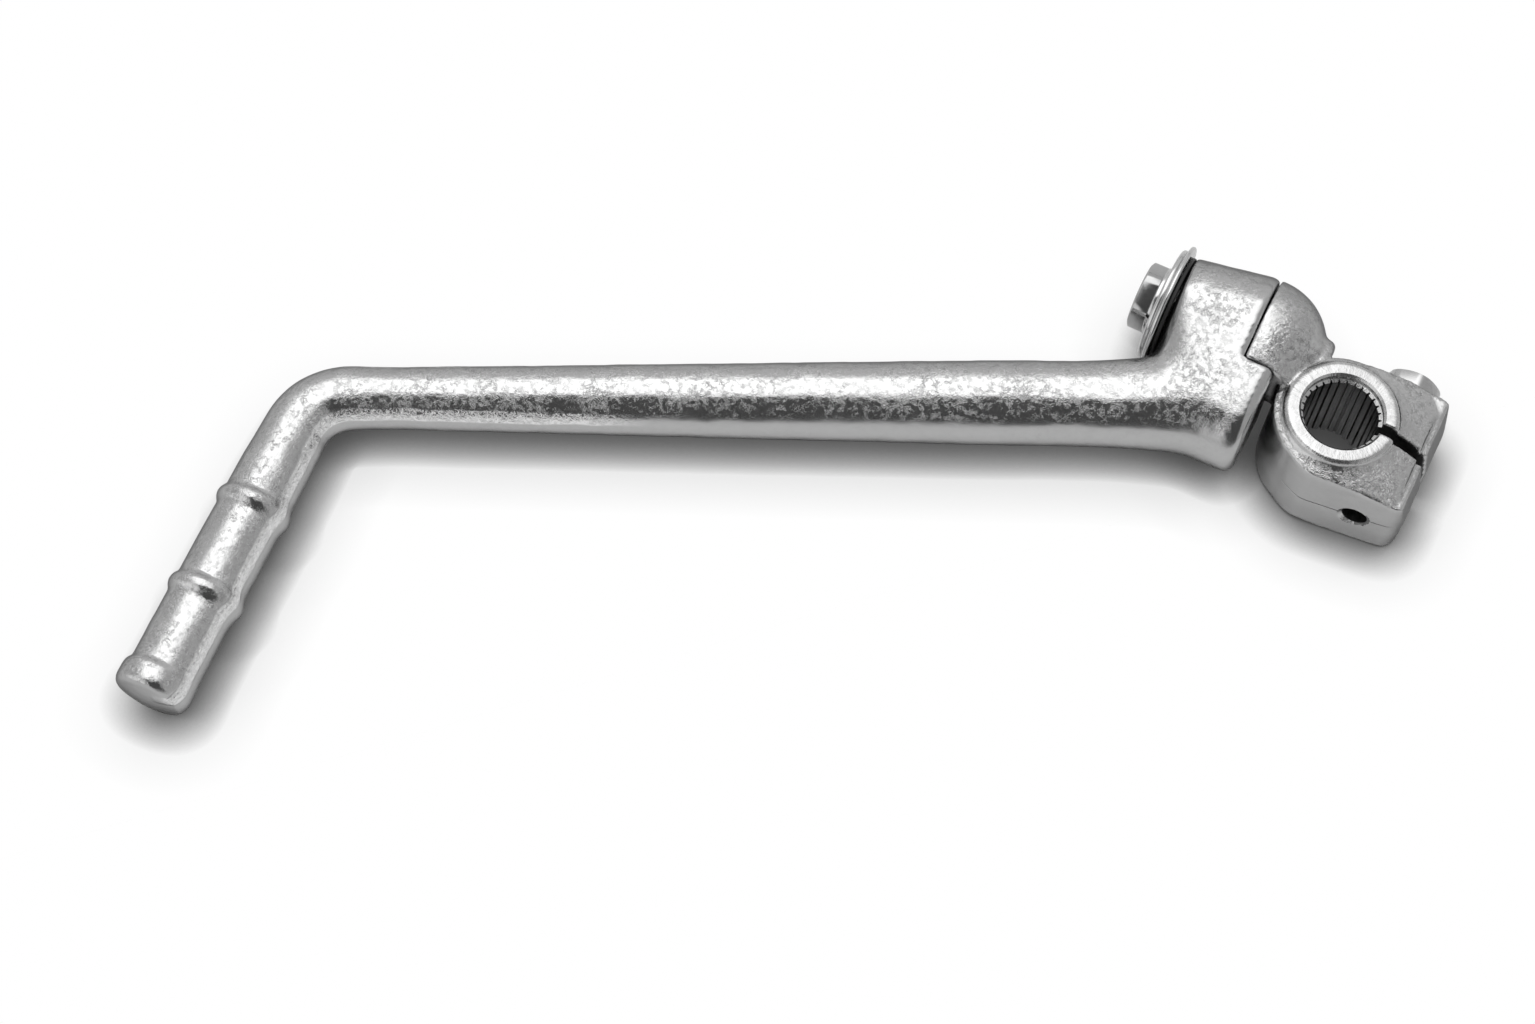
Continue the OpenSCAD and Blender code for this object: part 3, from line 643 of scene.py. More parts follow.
def turned_ring(name):
    """The hub's ring face, faced in a lathe: chatter marks that run out from the bore."""
    finish = Finish(name)
    spot = finish.place()
    x, y, _ = finish.parts(spot)
    angle = finish.node("ShaderNodeMath", {"operation": "ARCTAN2"}, {0: y, 1: x})
    rays = finish.vector(angle * 7.0, (x * x + y * y) ** 0.5 * 0.25, 0.0)
    chatter = finish.noise(rays, length=1.0, detail=3.0, rough=0.6, warp=0.4)
    fine = finish.noise(rays, length=0.22)
    pits = finish.noise(spot, length=0.7, rough=0.6)
    tone = 0.62 + (chatter - 0.5) * 0.34 + (pits - 0.5) * 0.14
    return finish.close(
        Base_Color=finish.grey(tone.clip()), Metallic=1.0, Roughness=(0.26 + (pits - 0.5) * 0.2).clip(),
        Normal=finish.bump(chatter * 0.9 + fine * 0.25 + pits * 0.3, CHATTER_DEPTH),
    )


def cut_steel(name, tone, roughness):
    """Broached and drilled faces, thinly plated: drag marks along the cut."""
    finish = Finish(name)
    spot = finish.place()
    pulled = finish.node("ShaderNodeMapping", {}, {"Vector": spot, "Scale": (1.0, 1.0, 0.12)})
    drag = finish.noise(pulled, length=0.5, detail=3.0, rough=0.6)
    stain = finish.noise(spot, length=3.0)
    level = tone + (drag - 0.5) * tone * 1.1 + (stain - 0.5) * tone * 0.6
    return finish.close(
        Base_Color=finish.grey(level.clip()), Metallic=1.0,
        Roughness=(roughness + (stain - 0.5) * 0.2).clip(), Normal=finish.bump(drag, DRAG_DEPTH),
    )


def plated_fastener(name, axis, centre, tone, roughness):
    """Bolt or washer: fine turning marks round its own axis under bright plating."""
    finish = Finish(name)
    spot = finish.place()
    x, y, z = finish.parts(finish.vectors("SUBTRACT", {0: spot, 1: centre}))
    across, way, along = {"X": (y, z, x), "Y": (x, z, y)}[axis]
    radius = (across * across + way * way) ** 0.5
    rings = finish.noise(finish.vector(radius, 0.0, along), length=0.35, detail=3.0, rough=0.6)
    skin = finish.noise(spot, length=0.9, detail=3.0, rough=0.55)
    level = tone + (rings - 0.5) * 0.06 + (skin - 0.5) * 0.07
    return finish.close(
        Base_Color=finish.grey(level.clip()), Metallic=1.0,
        Roughness=(roughness + (skin - 0.5) * 0.10).clip(),
        Normal=finish.bump(rings * 0.5 + skin * 0.5, TURNING_DEPTH),
    )


def black_rubber(name):
    finish = Finish(name)
    mottle = finish.noise(finish.place(), length=0.8, detail=3.0, rough=0.6)
    return finish.close(
        Base_Color=finish.grey(0.012 + mottle * 0.012), Roughness=0.45 + mottle * 0.15,
        Normal=finish.bump(mottle, DRAG_DEPTH),
    )


# The knuckle
def hub_form():
    """The round hub: a soft bottom edge, the shoulder, and the raised ring on top."""
    return turned("hub", [
        (0, 0), *arc((HUB_R - FOOT_EDGE_R, FOOT_EDGE_R), FOOT_EDGE_R, -90, 0), (HUB_R, HUB_SHOULDER_Z),
        (SHOULDER_R, SHOULDER_Z), *arc((SHOULDER_R - RING_ROUND, HUB_H - RING_ROUND), RING_ROUND, 6, 90),
        (0, HUB_H),
    ])


def ear_reach(size):
    """Where the ears may be in plan: the round hub, its belly on the near side, and all that lies beyond."""
    wedge = [
        (0, 0), (-HUB_R * 0.14, HUB_R * 0.98), (HUB_R * 0.7, FAR_WALL), (size, FAR_WALL), (size, -size),
        (BELLY_X, -size), (BELLY_X, 0),
    ]
    belly = rod("belly", BELLY_R, CUT_LOW - 2, CUT_HIGH + 2, Matrix.Translation((BELLY_X, 0, 0)))
    near_side = block("lower", (-size, -size, CUT_LOW - 3), (size, NUDGE, CUT_HIGH + 3))
    round_hub = rod("round", HUB_R, CUT_LOW - 1, CUT_HIGH + 1)
    belly = combine("INTERSECT", belly, near_side)
    return combine("UNION", prism("reach", wedge, CUT_LOW, CUT_HIGH), round_hub, belly)


def ear_forms():
    """The clamp ears before the slit, rounded in plan and at their end, under a conical top."""
    size = EAR_REACH + FAR_WALL
    corner_x = EAR_REACH - EAR_CORNER_R
    corner_y = (NEAR_WALL - corner_x * sin(NEAR_TURN)) / cos(NEAR_TURN)
    ears = prism("ears", [
        (-size, -size), (corner_x, -size), *arc((corner_x, EAR_CORNER_R - corner_y), EAR_CORNER_R, -90, 0),
        *arc((corner_x, FAR_WALL - EAR_CORNER_R), EAR_CORNER_R, 0, 90), (-size, FAR_WALL),
    ], 0, HUB_H)
    wall_low, wall_high = (-2 * size, -NEAR_WALL, CUT_LOW), (2 * size, 2 * size, CUT_HIGH)
    wall = block("wall", wall_low, wall_high, rotation(NEAR_TURN, "Z"))
    top_r = EAR_CORNER_R - FOOT_EDGE_R / 2
    lean_x = EAR_REACH - EAR_END_LEAN * top_r
    side = prism("side", [
        *rounded_outline((-size, 0), (EAR_REACH, EAR_H), (0, FOOT_EDGE_R, 0, 0))[:-2],
        (EAR_REACH, EAR_H * EAR_END_START), (lean_x, EAR_H - EAR_END_DROP),
        *arc((lean_x - EAR_END_R, EAR_H - EAR_END_R), EAR_END_R, 15, 90),
        (EAR_REACH - top_r, EAR_H), (EAR_REACH - top_r, 2 * HUB_H), (-size, 2 * HUB_H),
    ], -size, size, rotation(90, "X"))
    end = rounded_outline((-NEAR_WALL, 0), (FAR_WALL, 2 * HUB_H), (FOOT_EDGE_R, FOOT_EDGE_R, 0, 0))
    drawn_along_x = Matrix(((0, 0, 1, 0), (1, 0, 0, 0), (0, 1, 0, 0), (0, 0, 0, 1)))
    front = prism("front", end, -size, size, drawn_along_x)
    cone = turned("cone", [
        (0, -1), (size, -1), (size, EAR_H), (EAR_TOP_R, EAR_H), (SHOULDER_R, SHOULDER_Z), (0, SHOULDER_Z),
    ])
    return combine("INTERSECT", ears, wall, ear_reach(size), side, front, cone)


def foot_sweep():
    """The room that the lever's foot needs on its way from one stop to the other."""
    far, edge = BOSS_R * 2, KNUCKLE_FACE + 2
    stop_y, stop_z = PIVOT_Y - STOP_FACE, PIVOT_Z - STOP_FACE
    below = block("below", (-edge, stop_y - far, PIVOT_Z), (-RELIEF_END, stop_y, PIVOT_Z + far))
    beside = block("beside", (-edge, PIVOT_Y, stop_z - far), (-RELIEF_END, PIVOT_Y + far, stop_z))
    quarter = block(
        "quarter", (-edge, PIVOT_Y - far, PIVOT_Z - far), (-RELIEF_END, PIVOT_Y + NUDGE, PIVOT_Z + NUDGE),
    )
    quarter = combine("DIFFERENCE", quarter, rod("core", CORE_R, 8, 30, on_hinge()))
    return combine("UNION", quarter, below, beside)


def boss_form():
    """The hinge boss: a dome on a neck, with the cheek that the lever's foot stops against."""
    dome_base, rim_start = KNUCKLE_FACE - BOSS_FLAT, KNUCKLE_FACE - BOSS_RIM_R
    boss = turned("boss", [
        (0, dome_base - BOSS_R), *arc((0, dome_base), BOSS_R, -88, 0, 60), (BOSS_R, rim_start),
        *arc((BOSS_R - BOSS_RIM_R, rim_start), BOSS_RIM_R, 0, 90), (0, KNUCKLE_FACE),
    ], on_hinge())
    neck = turned("neck", [
        (0, NECK_START), *arc((NECK_R - NECK_ROUND, NECK_START + NECK_ROUND), NECK_ROUND, -90, 0),
        (NECK_R, KNUCKLE_FACE - 2), (0, KNUCKLE_FACE - 2),
    ], on_hinge())
    points = root_section(-KNUCKLE_FACE, BOSS_R - BOSS_RIM_R, FOOT_R - BOSS_RIM_R)
    for start in np.linspace(rim_start, KNUCKLE_FACE - CHEEK_DEPTH, 16):
        swell = math.sqrt(max(BOSS_R ** 2 - max(dome_base - start, 0) ** 2, 0)) / BOSS_R
        for x, y, z in root_section(-start, BOSS_R - HAIR, FOOT_R - HAIR):
            points.append((x, PIVOT_Y + (y - PIVOT_Y) * swell, PIVOT_Z + (z - PIVOT_Z) * swell))
    keep = block("keep", (-FAR_OUT, PIVOT_Y - STOP_FACE, PIVOT_Z), (0, FAR_OUT, FAR_OUT))
    cheek = combine("INTERSECT", wrapped("cheek", points), keep)
    return combine("DIFFERENCE", combine("UNION", boss, neck, cheek), foot_sweep())


def knuckle_hollows(co):
    """Where the boss runs into the hub, and a little where the shoulder meets the ring."""
    axis_r = np.hypot(co[:, 0], co[:, 1])
    valley = bell(co[:, 0] - VALLEY_X, 3.5) * (co[:, 1] > 2)
    step = bell(axis_r - SHOULDER_R, 1.0) * bell(co[:, 2] - SHOULDER_Z + 0.2, 1.2)
    return np.clip(valley + 0.15 * step, 0, 1)


def knuckle_wear(co):
    """The hammered skin ends at the seam, at the underside and at the ring."""
    return (1 - bell(co[:, 0] + KNUCKLE_FACE, 1.2)) * (co[:, 2] > 1.0) * (co[:, 2] < HUB_H - 0.5)


def knuckle_tools(groove_finish):
    """What the knuckle is bored, broached, drilled and tapped with."""
    ledge, over_top = HUB_H - LEAD_IN_DEPTH, HUB_H + 2 * MOUTH_CHAMFER
    bore = turned("bore", [
        (0, -3), (TIP_R, -3), (TIP_R, ledge - 0.35), (LEAD_IN_R, ledge), (LEAD_IN_R, HUB_H - MOUTH_CHAMFER),
        (LEAD_IN_R + 3 * MOUTH_CHAMFER, over_top), (0, over_top),
    ], steps=240)
    clear_r, wide_end, drill_end = PINCH_R + 0.15, PINCH_LEN - FAR_WALL + 0.6, PINCH_LEN - FAR_WALL + 1
    bolt_way = turned("bolt_way", [
        (0, -FAR_WALL - 3), (clear_r, -FAR_WALL - 3), (clear_r, 0), (PINCH_R, 0.2), (PINCH_R, wide_end),
        (TAPPING_R, drill_end), (TAPPING_R, NEAR_FACE_Y - 0.45), (TAPPING_R + 1.5, NEAR_FACE_Y + 1.05),
        (0, NEAR_FACE_Y + 1.05),
    ], Matrix.Translation((PINCH_X, 0, PINCH_Z)) @ rotation(90, "X"))
    thread_end, thread_r = SPIGOT_END - BOLT_GRIP, BOLT_R + 0.02
    thread = turned("thread", [
        (0, thread_end - 2), (thread_r, thread_end - 0.8), (thread_r, SPIGOT_END + 2), (0, SPIGOT_END + 2),
    ], on_hinge())
    ball_way = (
        on_hinge(KNUCKLE_FACE - POCKET_DEPTH) @ rotation(135, "Z") @ Matrix.Translation((0, -BALL_RING_R, 0))
    )
    pocket = rod("pocket", BALL_R + 0.08, 0, POCKET_DEPTH + 2, ball_way, 48)
    return bore, serration_grooves(groove_finish), bolt_way, thread, pocket


def knuckle_faces(centre, way):
    """Which finish each face has: 0 forged, 1 turned, 2 cut."""
    x, y, z = centre.T
    axis_r = np.hypot(x, y)
    side_r = np.hypot(x - PINCH_X, z - PINCH_Z)
    hinge_r = np.hypot(y - PIVOT_Y, z - PIVOT_Z)
    in_bore = axis_r < LEAD_IN_R - 0.05
    tooth_tops = in_bore & (way[:, 2] > 0.25) & (np.abs(z - HUB_H + LEAD_IN_DEPTH + 0.2) < 0.5)
    bore_faces = in_bore & ((np.abs(way[:, 2]) < 0.9) | (z < HUB_H - 1)) & (z > 0.02) & ~tooth_tops
    slit_faces = (x > 7) & (np.abs(y) < SLIT_W / 2 + 0.05) & (np.abs(way[:, 1]) > 0.7)
    hole_faces = (side_r < PINCH_R + 0.3) & (y < 14.5) & (y > -NEAR_FACE_Y + 0.2) & (axis_r > 8)
    thread_faces = (hinge_r < BOLT_R + 0.1) & (x < -9)
    on_ring = (np.abs(z - HUB_H) < 0.75) & (axis_r < SHOULDER_R) & (way[:, 2] > 0.5) & ~bore_faces
    on_spigot = x < -KNUCKLE_FACE - 0.02
    cut = bore_faces | slit_faces | hole_faces | thread_faces
    return np.where(cut, 2, np.where(on_ring | tooth_tops | on_spigot, 1, 0))


def forge_knuckle(finishes):
    """Hub, clamp ears and hinge boss in one forging, then its machining."""
    slit = (0, -SLIT_W / 2, -3), (EAR_REACH + 3, SLIT_W / 2, HUB_H + 3)
    clamp = [combine("DIFFERENCE", form, block("slit", *slit)) for form in (hub_form(), ear_forms())]
    piece = fuse("knuckle_forging", [*clamp, boss_form()], KNUCKLE_GRID)
    relax(piece, 4)
    relax(piece, 26, knuckle_hollows, keep_size=False)
    relax(piece, 3, keep_size=False)
    hammer(piece, [(9.0, 0.10), (4.0, 0.05)], knuckle_wear)
    spigot = turned("spigot", [
        (0, KNUCKLE_FACE - 1), (SPIGOT_R, KNUCKLE_FACE - 1), (SPIGOT_R, SPIGOT_END - 0.4),
        (SPIGOT_R - 0.4, SPIGOT_END), (0, SPIGOT_END),
    ], on_hinge())
    piece = combine("UNION", piece, spigot)
    piece = combine("DIFFERENCE", piece, *knuckle_tools(finishes[2]))
    finish_piece(piece, "knuckle", "knuckle", finishes, pick=knuckle_faces)


# The lever
def rim_profile():
    """The eye's soft rim at the seam, as (radius, distance from the seam)."""
    return [(BOSS_R - RIM_R * (1 - sin(a)), RIM_W * (1 - cos(a))) for a in range(0, 91, 9)]


def eye_form():
    edge = [
        (EYE_OUTER_R - EYE_EDGE_R * (1 - cos(a)), EYE_LEN - EYE_EDGE_W * (1 - sin(a)))
        for a in range(0, 91, 9)
    ]
    return turned("eye", [(0, 0), *rim_profile(), *edge, (0, EYE_LEN)], on_hinge(EYE_FACE))


def foot_form():
    """The foot wraps the boss's lower quarter, flush with it, and its end is round."""
    points = []
    for a in np.linspace(0, 90, 10):
        inset = FOOT_END_R * (1 - cos(a))
        x = -FOOT_END - FOOT_END_R * (1 - sin(a))
        points += root_section(x, BOSS_R - FOOT_INSET - inset, FOOT_R - inset)
    points += root_section(-EYE_FACE - 2.5, BOSS_R - FOOT_INSET, FOOT_R)
    inner = block("inner", (-FAR_OUT, PIVOT_Y - FOOT_FACE, -2), (FAR_OUT, FAR_OUT, FAR_OUT))
    return combine("DIFFERENCE", wrapped("foot", points), inner)


def heel_form():
    ball = [(0, -FOOT_R), *arc((0, 0), FOOT_R, -89, 89, 40), (0, FOOT_R)]
    return turned("heel", ball, Matrix.Translation(FOOT_CENTRE) @ ALONG_X)


def web_form():
    """One skin from the eye's rim and end to the heel."""
    points = []
    for r, h in rim_profile():
        points += root_section(-EYE_FACE - h, r - HAIR, r - HAIR - BOSS_R + FOOT_R)
    eye_r, heel_r = EYE_OUTER_R - WEB_INSET, FOOT_R - FOOT_INSET
    for k in range(120):
        a = math.tau * k / 120
        end = 1.6 * EYE_EDGE_W - EYE_END
        points.append((end, PIVOT_Y + eye_r * math.cos(a), PIVOT_Z + eye_r * math.sin(a)))
        for b in range(-85, 90, 10):
            r = heel_r * cos(b)
            points.append(FOOT_CENTRE + Vector((r * math.cos(a), r * math.sin(a), heel_r * sin(b))))
    return wrapped("web", points)


def arm_form():
    """A taper from the bend to the flare at the foot."""
    flare = [
        (ARM_ROOT_R + (FOOT_R - ARM_ROOT_R) * (k / 20) ** 2, ARM_LEN - FLARE_LEN * (1 - k / 20))
        for k in range(21)
    ]
    return turned("arm", [
        (0, BEND_SETBACK - 0.3), (BEND_TUBE_R - 0.02, BEND_SETBACK - 0.3),
        (ARM_TIP_R, BEND_SETBACK + BEND_FADE), *flare, (0, ARM_LEN),
    ], ARM_AXIS)


def bend_form(sections=48, ring=120):
    """A round bar bent from the arm into the pedal."""
    verts, faces = [], []
    for i in range(sections + 1):
        a = math.radians(-90 - BEND_ANGLE + BEND_ANGLE * i / sections)
        for k in range(ring):
            t = math.tau * k / ring
            r = BEND_R + BEND_TUBE_R * math.cos(t)
            spot = (BEND_SETBACK + r * math.cos(a), BEND_R + r * math.sin(a), BEND_TUBE_R * math.sin(t))
            verts.append(LEVER_PLANE @ Vector(spot))
    for i in range(sections):
        for k in range(ring):
            j = (k + 1) % ring
            faces.append((i * ring + k, i * ring + j, (i + 1) * ring + j, (i + 1) * ring + k))
    faces += [list(range(ring)), list(range(sections * ring, (sections + 1) * ring))[::-1]]
    return blank("bend", verts, faces)


def pedal_forms():
    """The pedal's bar, and the collar with its crowned end face."""
    start, edge_r = PEDAL_END - COLLAR_LEN, RIB_OUTER_R - COLLAR_EDGE_R
    bar = turned("pedal", [
        (0, BEND_SETBACK - 0.3), (BEND_TUBE_R - 0.02, BEND_SETBACK - 0.3),
        (PEDAL_R, BEND_SETBACK + BEND_FADE), (PEDAL_R, start + 1), (0, start + 1),
    ], PEDAL_AXIS)
    crown = [
        (r, PEDAL_END - DOME_R + math.sqrt(DOME_R ** 2 - r ** 2))
        for r in np.linspace(RIB_OUTER_R - 1.7, 0, 12)
    ]
    squeezed = Matrix.Translation((0, -COLLAR_LEAN, 0)) @ Matrix.Diagonal((1, COLLAR_SQUEEZE, 1, 1))
    collar = turned("collar", [
        (0, start), *arc((edge_r, start + COLLAR_EDGE_R), COLLAR_EDGE_R, -90, 0),
        *arc((edge_r, PEDAL_END - 2.9), COLLAR_EDGE_R, 0, 62), *crown,
    ], LEVER_PLANE @ squeezed @ ALONG_X)
    return bar, collar


def root_hollow(co):
    """The hollow where the arm leaves the eye, the foot's end, and the bend's inside."""
    from_root = np.linalg.norm((co - np.array(ROOT_CENTRE)) * np.array([0.75, 1.0, 1.0]), axis=1)
    from_bend = np.linalg.norm(co - np.array(CORNER + Vector((7.0, 2.0, 0.0))), axis=1)
    clear_of_seam = np.clip((-24.0 - co[:, 0]) / 14.0, 0, 1) ** 1.5
    below_seam = np.clip((-0.5 - co[:, 1]) / 3.0, 0, 1) * np.clip((-16.5 - co[:, 0]) / 4.0, 0, 1)
    root = 1.3 * bell(from_root, 15.0) * np.maximum(clear_of_seam, 0.8 * below_seam)
    foot = 0.5 * bell(co[:, 0] + 26.0, 9.0) * below_seam
    return np.clip(np.maximum(root, foot) + 0.6 * bell(from_bend, 9.0), 0, 1)


def in_lever_plane(co):
    """The same places measured along the pedal, towards the arm, and up."""
    frame_in = LEVER_PLANE.inverted()
    return co @ np.array(frame_in.to_3x3()).T + np.array(frame_in.translation)


def inside_edge(co):
    """The pedal's side towards the arm, where the ribs run out into the trimmed flash."""
    local = in_lever_plane(co)
    return bell(local[:, 1] - 9.0, 3.6) * (local[:, 0] > 12) * (local[:, 0] < PEDAL_END - 1)


def raise_flash(piece):
    """The stub of the trimmed flash stands a little proud along the pedal's inner side."""
    co = points_of(piece)
    local = in_lever_plane(co)
    band = np.clip((TRIM_W - np.abs(local[:, 2] - TRIM_Z)) / 0.5, 0, 1)
    band = band * (local[:, 1] > 2) * (local[:, 0] > 9) * (co[:, 0] < -50)
    put_points(piece, co + points_of(piece, "normal") * (FLASH_H * band)[:, None])


def lever_tools():
    """What the foot's faces, the eye's bore and the two dimples are cut with."""
    past = BOSS_R * 4
    inner = block("inner", (-EYE_FACE, PIVOT_Y - FOOT_FACE, -2), (BOSS_R * 2, PIVOT_Y + past, past))
    bore = rod("eye_bore", SPIGOT_R + 0.08, EYE_FACE - 2, EYE_END + 2, on_hinge())
    dimples = []
    for turned_by in (0, 90):
        home = Matrix.Translation((-BALL_X - DIMPLE_DROP, PIVOT_Y, PIVOT_Z)) @ rotation(45 - turned_by, "X")
        home = home @ Matrix.Translation((0, BALL_RING_R, 0))
        dimples.append(turned("dimple", arc((0, 0), BALL_R + 0.1, -90, 90, 24), home, 48))
    return inner, bore, *dimples


def lever_faces(centre, way):
    """The eye's bore is turned, the rest is forged."""
    x, y, z = centre.T
    hinge_r = np.hypot(y - PIVOT_Y, z - PIVOT_Z)
    return np.where((hinge_r < SPIGOT_R + 0.2) & (x < -EYE_FACE + 0.1) & (np.abs(way[:, 0]) < 0.5), 1, 0)


def forge_lever(finishes):
    """Eye, foot, arm, bend and ribbed pedal in one forging, then its machining."""
    parts = [eye_form(), foot_form(), heel_form(), web_form(), arm_form(), bend_form(), *pedal_forms()]
    piece = fuse("lever_forging", [*parts, pedal_ribs(finishes[0])], LEVER_GRID)
    relax(piece, 4)
    relax(piece, 150, root_hollow, keep_size=False)
    relax(piece, 2, keep_size=False)
    relax(piece, 60, inside_edge, keep_size=False)
    raise_flash(piece)
    hammer(piece, [(14.0, 0.10), (5.0, 0.07), (2.6, 0.03)], lambda co: 1 - bell(co[:, 0] + EYE_FACE, 2.0))
    piece = combine("DIFFERENCE", piece, *lever_tools())
    finish_piece(piece, "lever", "lever", finishes, pick=lever_faces)


# The fasteners and the seal
def hex_bolt(name, af, head_h, shank_r, length, turned_by, place, finish):
    """Hexagon head with its corners turned off, a soft edge all round, and a plain chamfered shank."""
    corner_r = af / 2 / cos(30)
    reach = (af / 2 - HEX_CORNER_R) / cos(30)
    outline = []
    for k in range(6):
        way = 60 * k + turned_by
        outline += arc((reach * cos(way), reach * sin(way)), HEX_CORNER_R, way - 30, way + 30, 8)
    head = prism("head", outline, 0, head_h)
    rise = (corner_r - af / 2) * tan(30)
    turned_off = turned("turned", [
        (0, -1), (corner_r + 0.5, -1), (corner_r + 0.5, head_h - rise * 1.6),
        (af / 2 * 0.985, head_h + 0.001), (0, head_h + 0.001),
    ], steps=192)
    head = combine("INTERSECT", head, turned_off)
    soft = head.modifiers.new("soft", "BEVEL")
    soft.width, soft.segments, soft.limit_method, soft.angle_limit = 0.18, 3, "ANGLE", math.radians(22)
    settle(head)
    shank = turned("shank", [
        (0, -length), (shank_r - 0.8, -length), (shank_r, 0.8 - length), (shank_r, 0.5), (0, 0.5),
    ], steps=96)
    piece = combine("UNION", head, shank)
    piece.name = name + "_turned"
    piece.data.transform(place)
    finish_piece(piece, "knuckle", name, [finish], smooth_angle=30)


def ring_edges(outer_r, thickness, edge, steps):
    """A flat ring's rounded outer edge, from below up."""
    lower = arc((outer_r - edge, edge), edge, -90, 0, steps)
    return lower + arc((outer_r - edge, thickness - edge), edge, 0, 90, steps)


def flat_ring(name, start, thickness, outer_r, inner_r, edge, body, finish):
    """A washer or the seal, round on its outer edge, with the edges of its hole broken."""
    broken_r = inner_r + EDGE_BREAK
    piece = turned(name + "_pressed", [
        (broken_r, 0), *ring_edges(outer_r, thickness, edge, 8), (broken_r, thickness),
        (inner_r, thickness - EDGE_BREAK), (inner_r, EDGE_BREAK),
    ], on_hinge(start), 192, hollow=True)
    finish_piece(piece, body, name, [finish], smooth_angle=50)


def spring_ring(finish):
    """Split spring washer: its ring is cut on a slant."""
    broken_r = HOLE_R + EDGE_BREAK
    piece = turned("spring_washer_split", [
        (HOLE_R, EDGE_BREAK), (broken_r, 0), *ring_edges(SPRING_R, SPRING_T, SPRING_EDGE_R, 6),
        (broken_r, SPRING_T), (HOLE_R, SPRING_T - EDGE_BREAK),
    ], on_hinge(RETAINING_END), 160, hollow=True)
    slant = Matrix.Identity(4)
    slant[1][2] = 0.45
    cut = block("cut", (2, -0.75, -1), (SPRING_R + 2, 0.05, SPRING_T + 1))
    cut.data.transform(on_hinge(RETAINING_END) @ rotation(-60, "Z") @ slant)
    piece = combine("DIFFERENCE", piece, cut)
    finish_piece(piece, "knuckle", "spring_washer", [finish], smooth_angle=40)


# Studio
def studio_tent():
    """What the metal mirrors: a soft box high on the far side, grey round it, dark on the camera's side."""
    finish = Finish("tent")
    way = finish.vectors("NORMALIZE", {0: finish.own_place()})
    far, side = finish.along(way, FAR), finish.along(way, RIGHT)
    up = finish.parts(way)[2]
    lean = far / ((far * far + up * up) ** 0.5)
    box = lean.ramp(0.78, 0.66) * lean.ramp(-0.28, -0.14) * side.ramp(0.62, 0.06) * side.ramp(-0.70, -0.3)
    near = lean.ramp(-0.10, -0.26)
    flag = near * side.ramp(-0.56, -0.38) * side.ramp(0.42, 0.24)
    skyline = far.ramp(0.2, 0.8) * up.ramp(0.0, 0.15)
    level = 0.46 + box * 1.28 + near * side.ramp(0.3, -0.5) * 0.5 + skyline * 0.16 - flag * 1.2
    glow = finish.node("ShaderNodeEmission", {}, {0: finish.grey(level.greater(0.08)), 1: 1.0})
    finish.node("ShaderNodeOutputMaterial", {}, {0: glow})
    bpy.ops.mesh.primitive_uv_sphere_add(segments=64, ring_count=32, radius=2.5)
    tent = bpy.context.object
    tent.name = "tent"
    tent.data.materials.append(finish.owner)
    tent.visible_camera = tent.visible_diffuse = tent.visible_shadow = tent.visible_transmission = False
    tent.visible_volume_scatter = False


def paper_floor():
    """White paper: the camera sees only a painted soft shadow on it, the metal mirrors the lit paper."""
    finish = Finish("paper")
    fibre = finish.noise(finish.place(), length=30.0)
    paper = finish.node("ShaderNodeBsdfPrincipled", {}, {
        "Base Color": finish.grey(0.64 + fibre * 0.01), "Roughness": 0.9, "Specular IOR Level": 0.0,
    })
    lean = finish.vector(*LIGHT_FROM)
    # Painted shadow: the camera sees the floor clear where the sky over it is open, mixed towards a dark
    # emitting grey where the object closes it in.
    close, wide = finish.open_share(0.008, Normal=lean), finish.open_share(0.016, Normal=lean)
    shade = 1 - close ** 1.9 * wide ** 0.4 * finish.open_share(0.04).ramp(0.0, 0.45)
    clear = finish.node("ShaderNodeBsdfTransparent")
    shadow_grey = finish.node("ShaderNodeEmission", {}, {0: (0.05, 0.05, 0.05, 1), 1: 1.0})
    shadow = finish.node("ShaderNodeMixShader", {}, {0: shade.clip(), 1: clear, 2: shadow_grey})
    both = finish.node("ShaderNodeMixShader", {}, {0: finish.rays("Is Camera Ray"), 1: paper, 2: shadow})
    finish.node("ShaderNodeOutputMaterial", {}, {0: both})
    sheet = [(x, y, -0.0003) for x, y in rounded_outline((-3, -3), (3, 3))]
    floor = blank("floor", sheet, [(0, 1, 2, 3)])
    floor.data.materials.append(finish.owner)


def white_sky():
    """White where it is seen or mirrored, and a dim fill everywhere else."""
    sky = Finish("sky", world=True)
    seen = sky.rays("Is Camera Ray") + sky.rays("Is Glossy Ray") + sky.rays("Is Transmission Ray")
    strength = seen.clip() * (1 - SKY_FILL) + SKY_FILL
    glow = sky.node("ShaderNodeBackground", {}, {0: (1, 1, 1, 1), 1: strength})
    sky.node("ShaderNodeOutputWorld", {}, {0: glow})
    bpy.context.scene.world = sky.owner


def key_lamp():
    """One wide soft lamp over the table, which the metal doesn't mirror."""
    lamp = bpy.data.lights.new("key", "AREA")
    lamp.shape, lamp.size, lamp.size_y, lamp.energy = "RECTANGLE", 0.95, 0.85, 13.0
    middle = Vector((-0.09, -0.05, 0.0))
    holder = lay_out("key", lamp)
    holder.location = middle + FAR * 0.05 + Vector((0, 0, 1.15))
    holder.rotation_euler = (holder.location - middle).to_track_quat("Z", "Y").to_euler()
    holder.visible_glossy = False


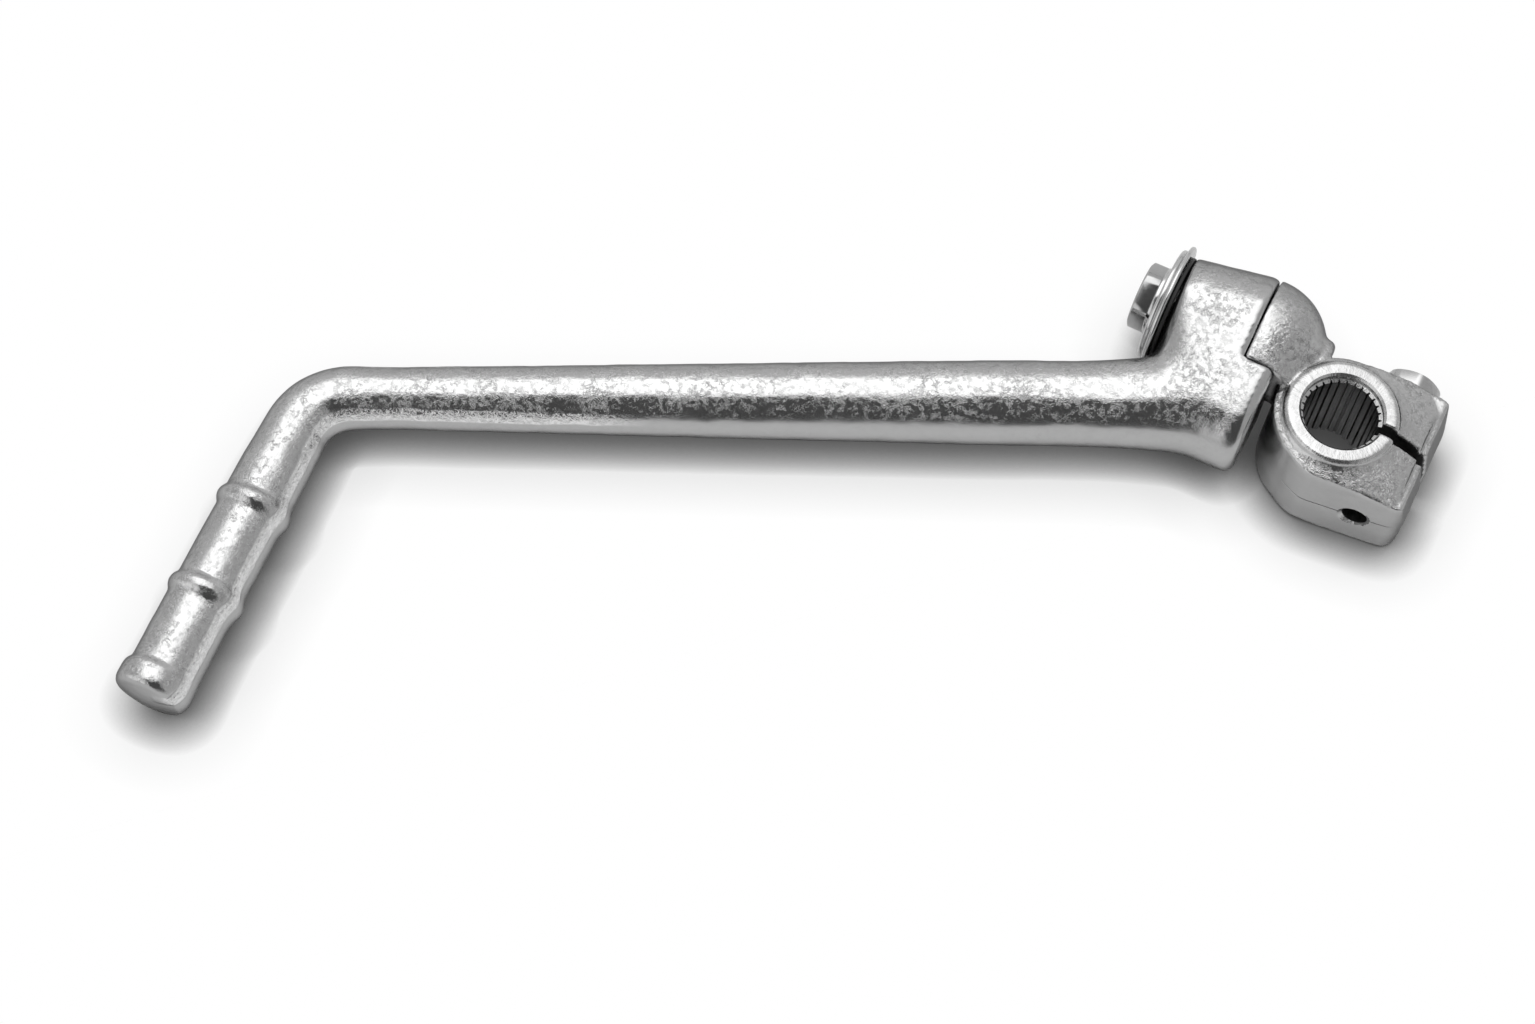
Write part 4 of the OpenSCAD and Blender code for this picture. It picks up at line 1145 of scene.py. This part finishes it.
def photo_camera():
    data = bpy.data.cameras.new("photo_camera")
    data.sensor_fit, data.sensor_width, data.lens = "HORIZONTAL", 36.0, 58.63
    data.clip_start, data.clip_end = 0.01, 20.0
    camera = lay_out("photo_camera", data)
    back = -LOOK
    camera.matrix_world = Matrix((
        (RIGHT.x, UP.x, back.x, 0.001649), (RIGHT.y, UP.y, back.y, -0.253856),
        (RIGHT.z, UP.z, back.z, 0.462049), (0, 0, 0, 1),
    ))
    bpy.context.scene.camera = camera
    bpy.context.scene.view_settings.view_transform = "Standard"


photo_camera()
paper_floor()
studio_tent()
white_sky()
key_lamp()

zinc_lever = forged_zinc("forged_zinc_lever", lever_masks)
zinc_knuckle = forged_zinc("forged_zinc_knuckle", knuckle_masks)
ring_face = turned_ring("turned_ring")
bore_face = cut_steel("broached_steel", tone=0.16, roughness=0.4)
hinge = (-30.0, PIVOT_Y, PIVOT_Z)
bolt_finish = plated_fastener("plated_pivot_bolt", "X", hinge, tone=0.5, roughness=0.15)
washer_finish = plated_fastener("plated_washers", "X", hinge, tone=0.68, roughness=0.2)
pinch_finish = plated_fastener("plated_pinch_bolt", "Y", (PINCH_X, 0.0, PINCH_Z), tone=0.58, roughness=0.2)

forge_knuckle([zinc_knuckle, ring_face, bore_face])
forge_lever([zinc_lever, ring_face])
bolt_len = SPRING_END - SPIGOT_END + BOLT_GRIP
hex_bolt("pivot_bolt", BOLT_AF, BOLT_HEAD_H, BOLT_R, bolt_len, BOLT_TURN, on_hinge(SPRING_END), bolt_finish)
pinch_place = Matrix.Translation((PINCH_X, FAR_WALL, PINCH_Z)) @ rotation(-90, "X")
hex_bolt("pinch_bolt", PINCH_AF, PINCH_HEAD_H, PINCH_R, PINCH_LEN, -PINCH_TURN, pinch_place, pinch_finish)
cover_edge, retaining_edge, seal_edge = COVER_T * 0.45, RETAINING_T * 0.45, SEAL_T * 0.3
flat_ring("cover_washer", SPIGOT_END, COVER_T, COVER_R, HOLE_R, cover_edge, "knuckle", washer_finish)
flat_ring(
    "retaining_washer", COVER_END, RETAINING_T, RETAINING_R, HOLE_R, retaining_edge, "knuckle", washer_finish,
)
rubber = black_rubber("black_rubber")
flat_ring("dust_seal", EYE_END, SEAL_T, SEAL_R, SEAL_R - SEAL_W, seal_edge, "lever", rubber)
spring_ring(washer_finish)
for name, steel, tone, roughness in (
    ("detent_ball", "bearing_steel", 0.7, 0.12), ("detent_spring", "spring_steel", 0.35, 0.35),
):
    nodes[name].data.materials.clear()
    nodes[name].data.materials.append(plated_fastener(steel, "X", hinge, tone, roughness))
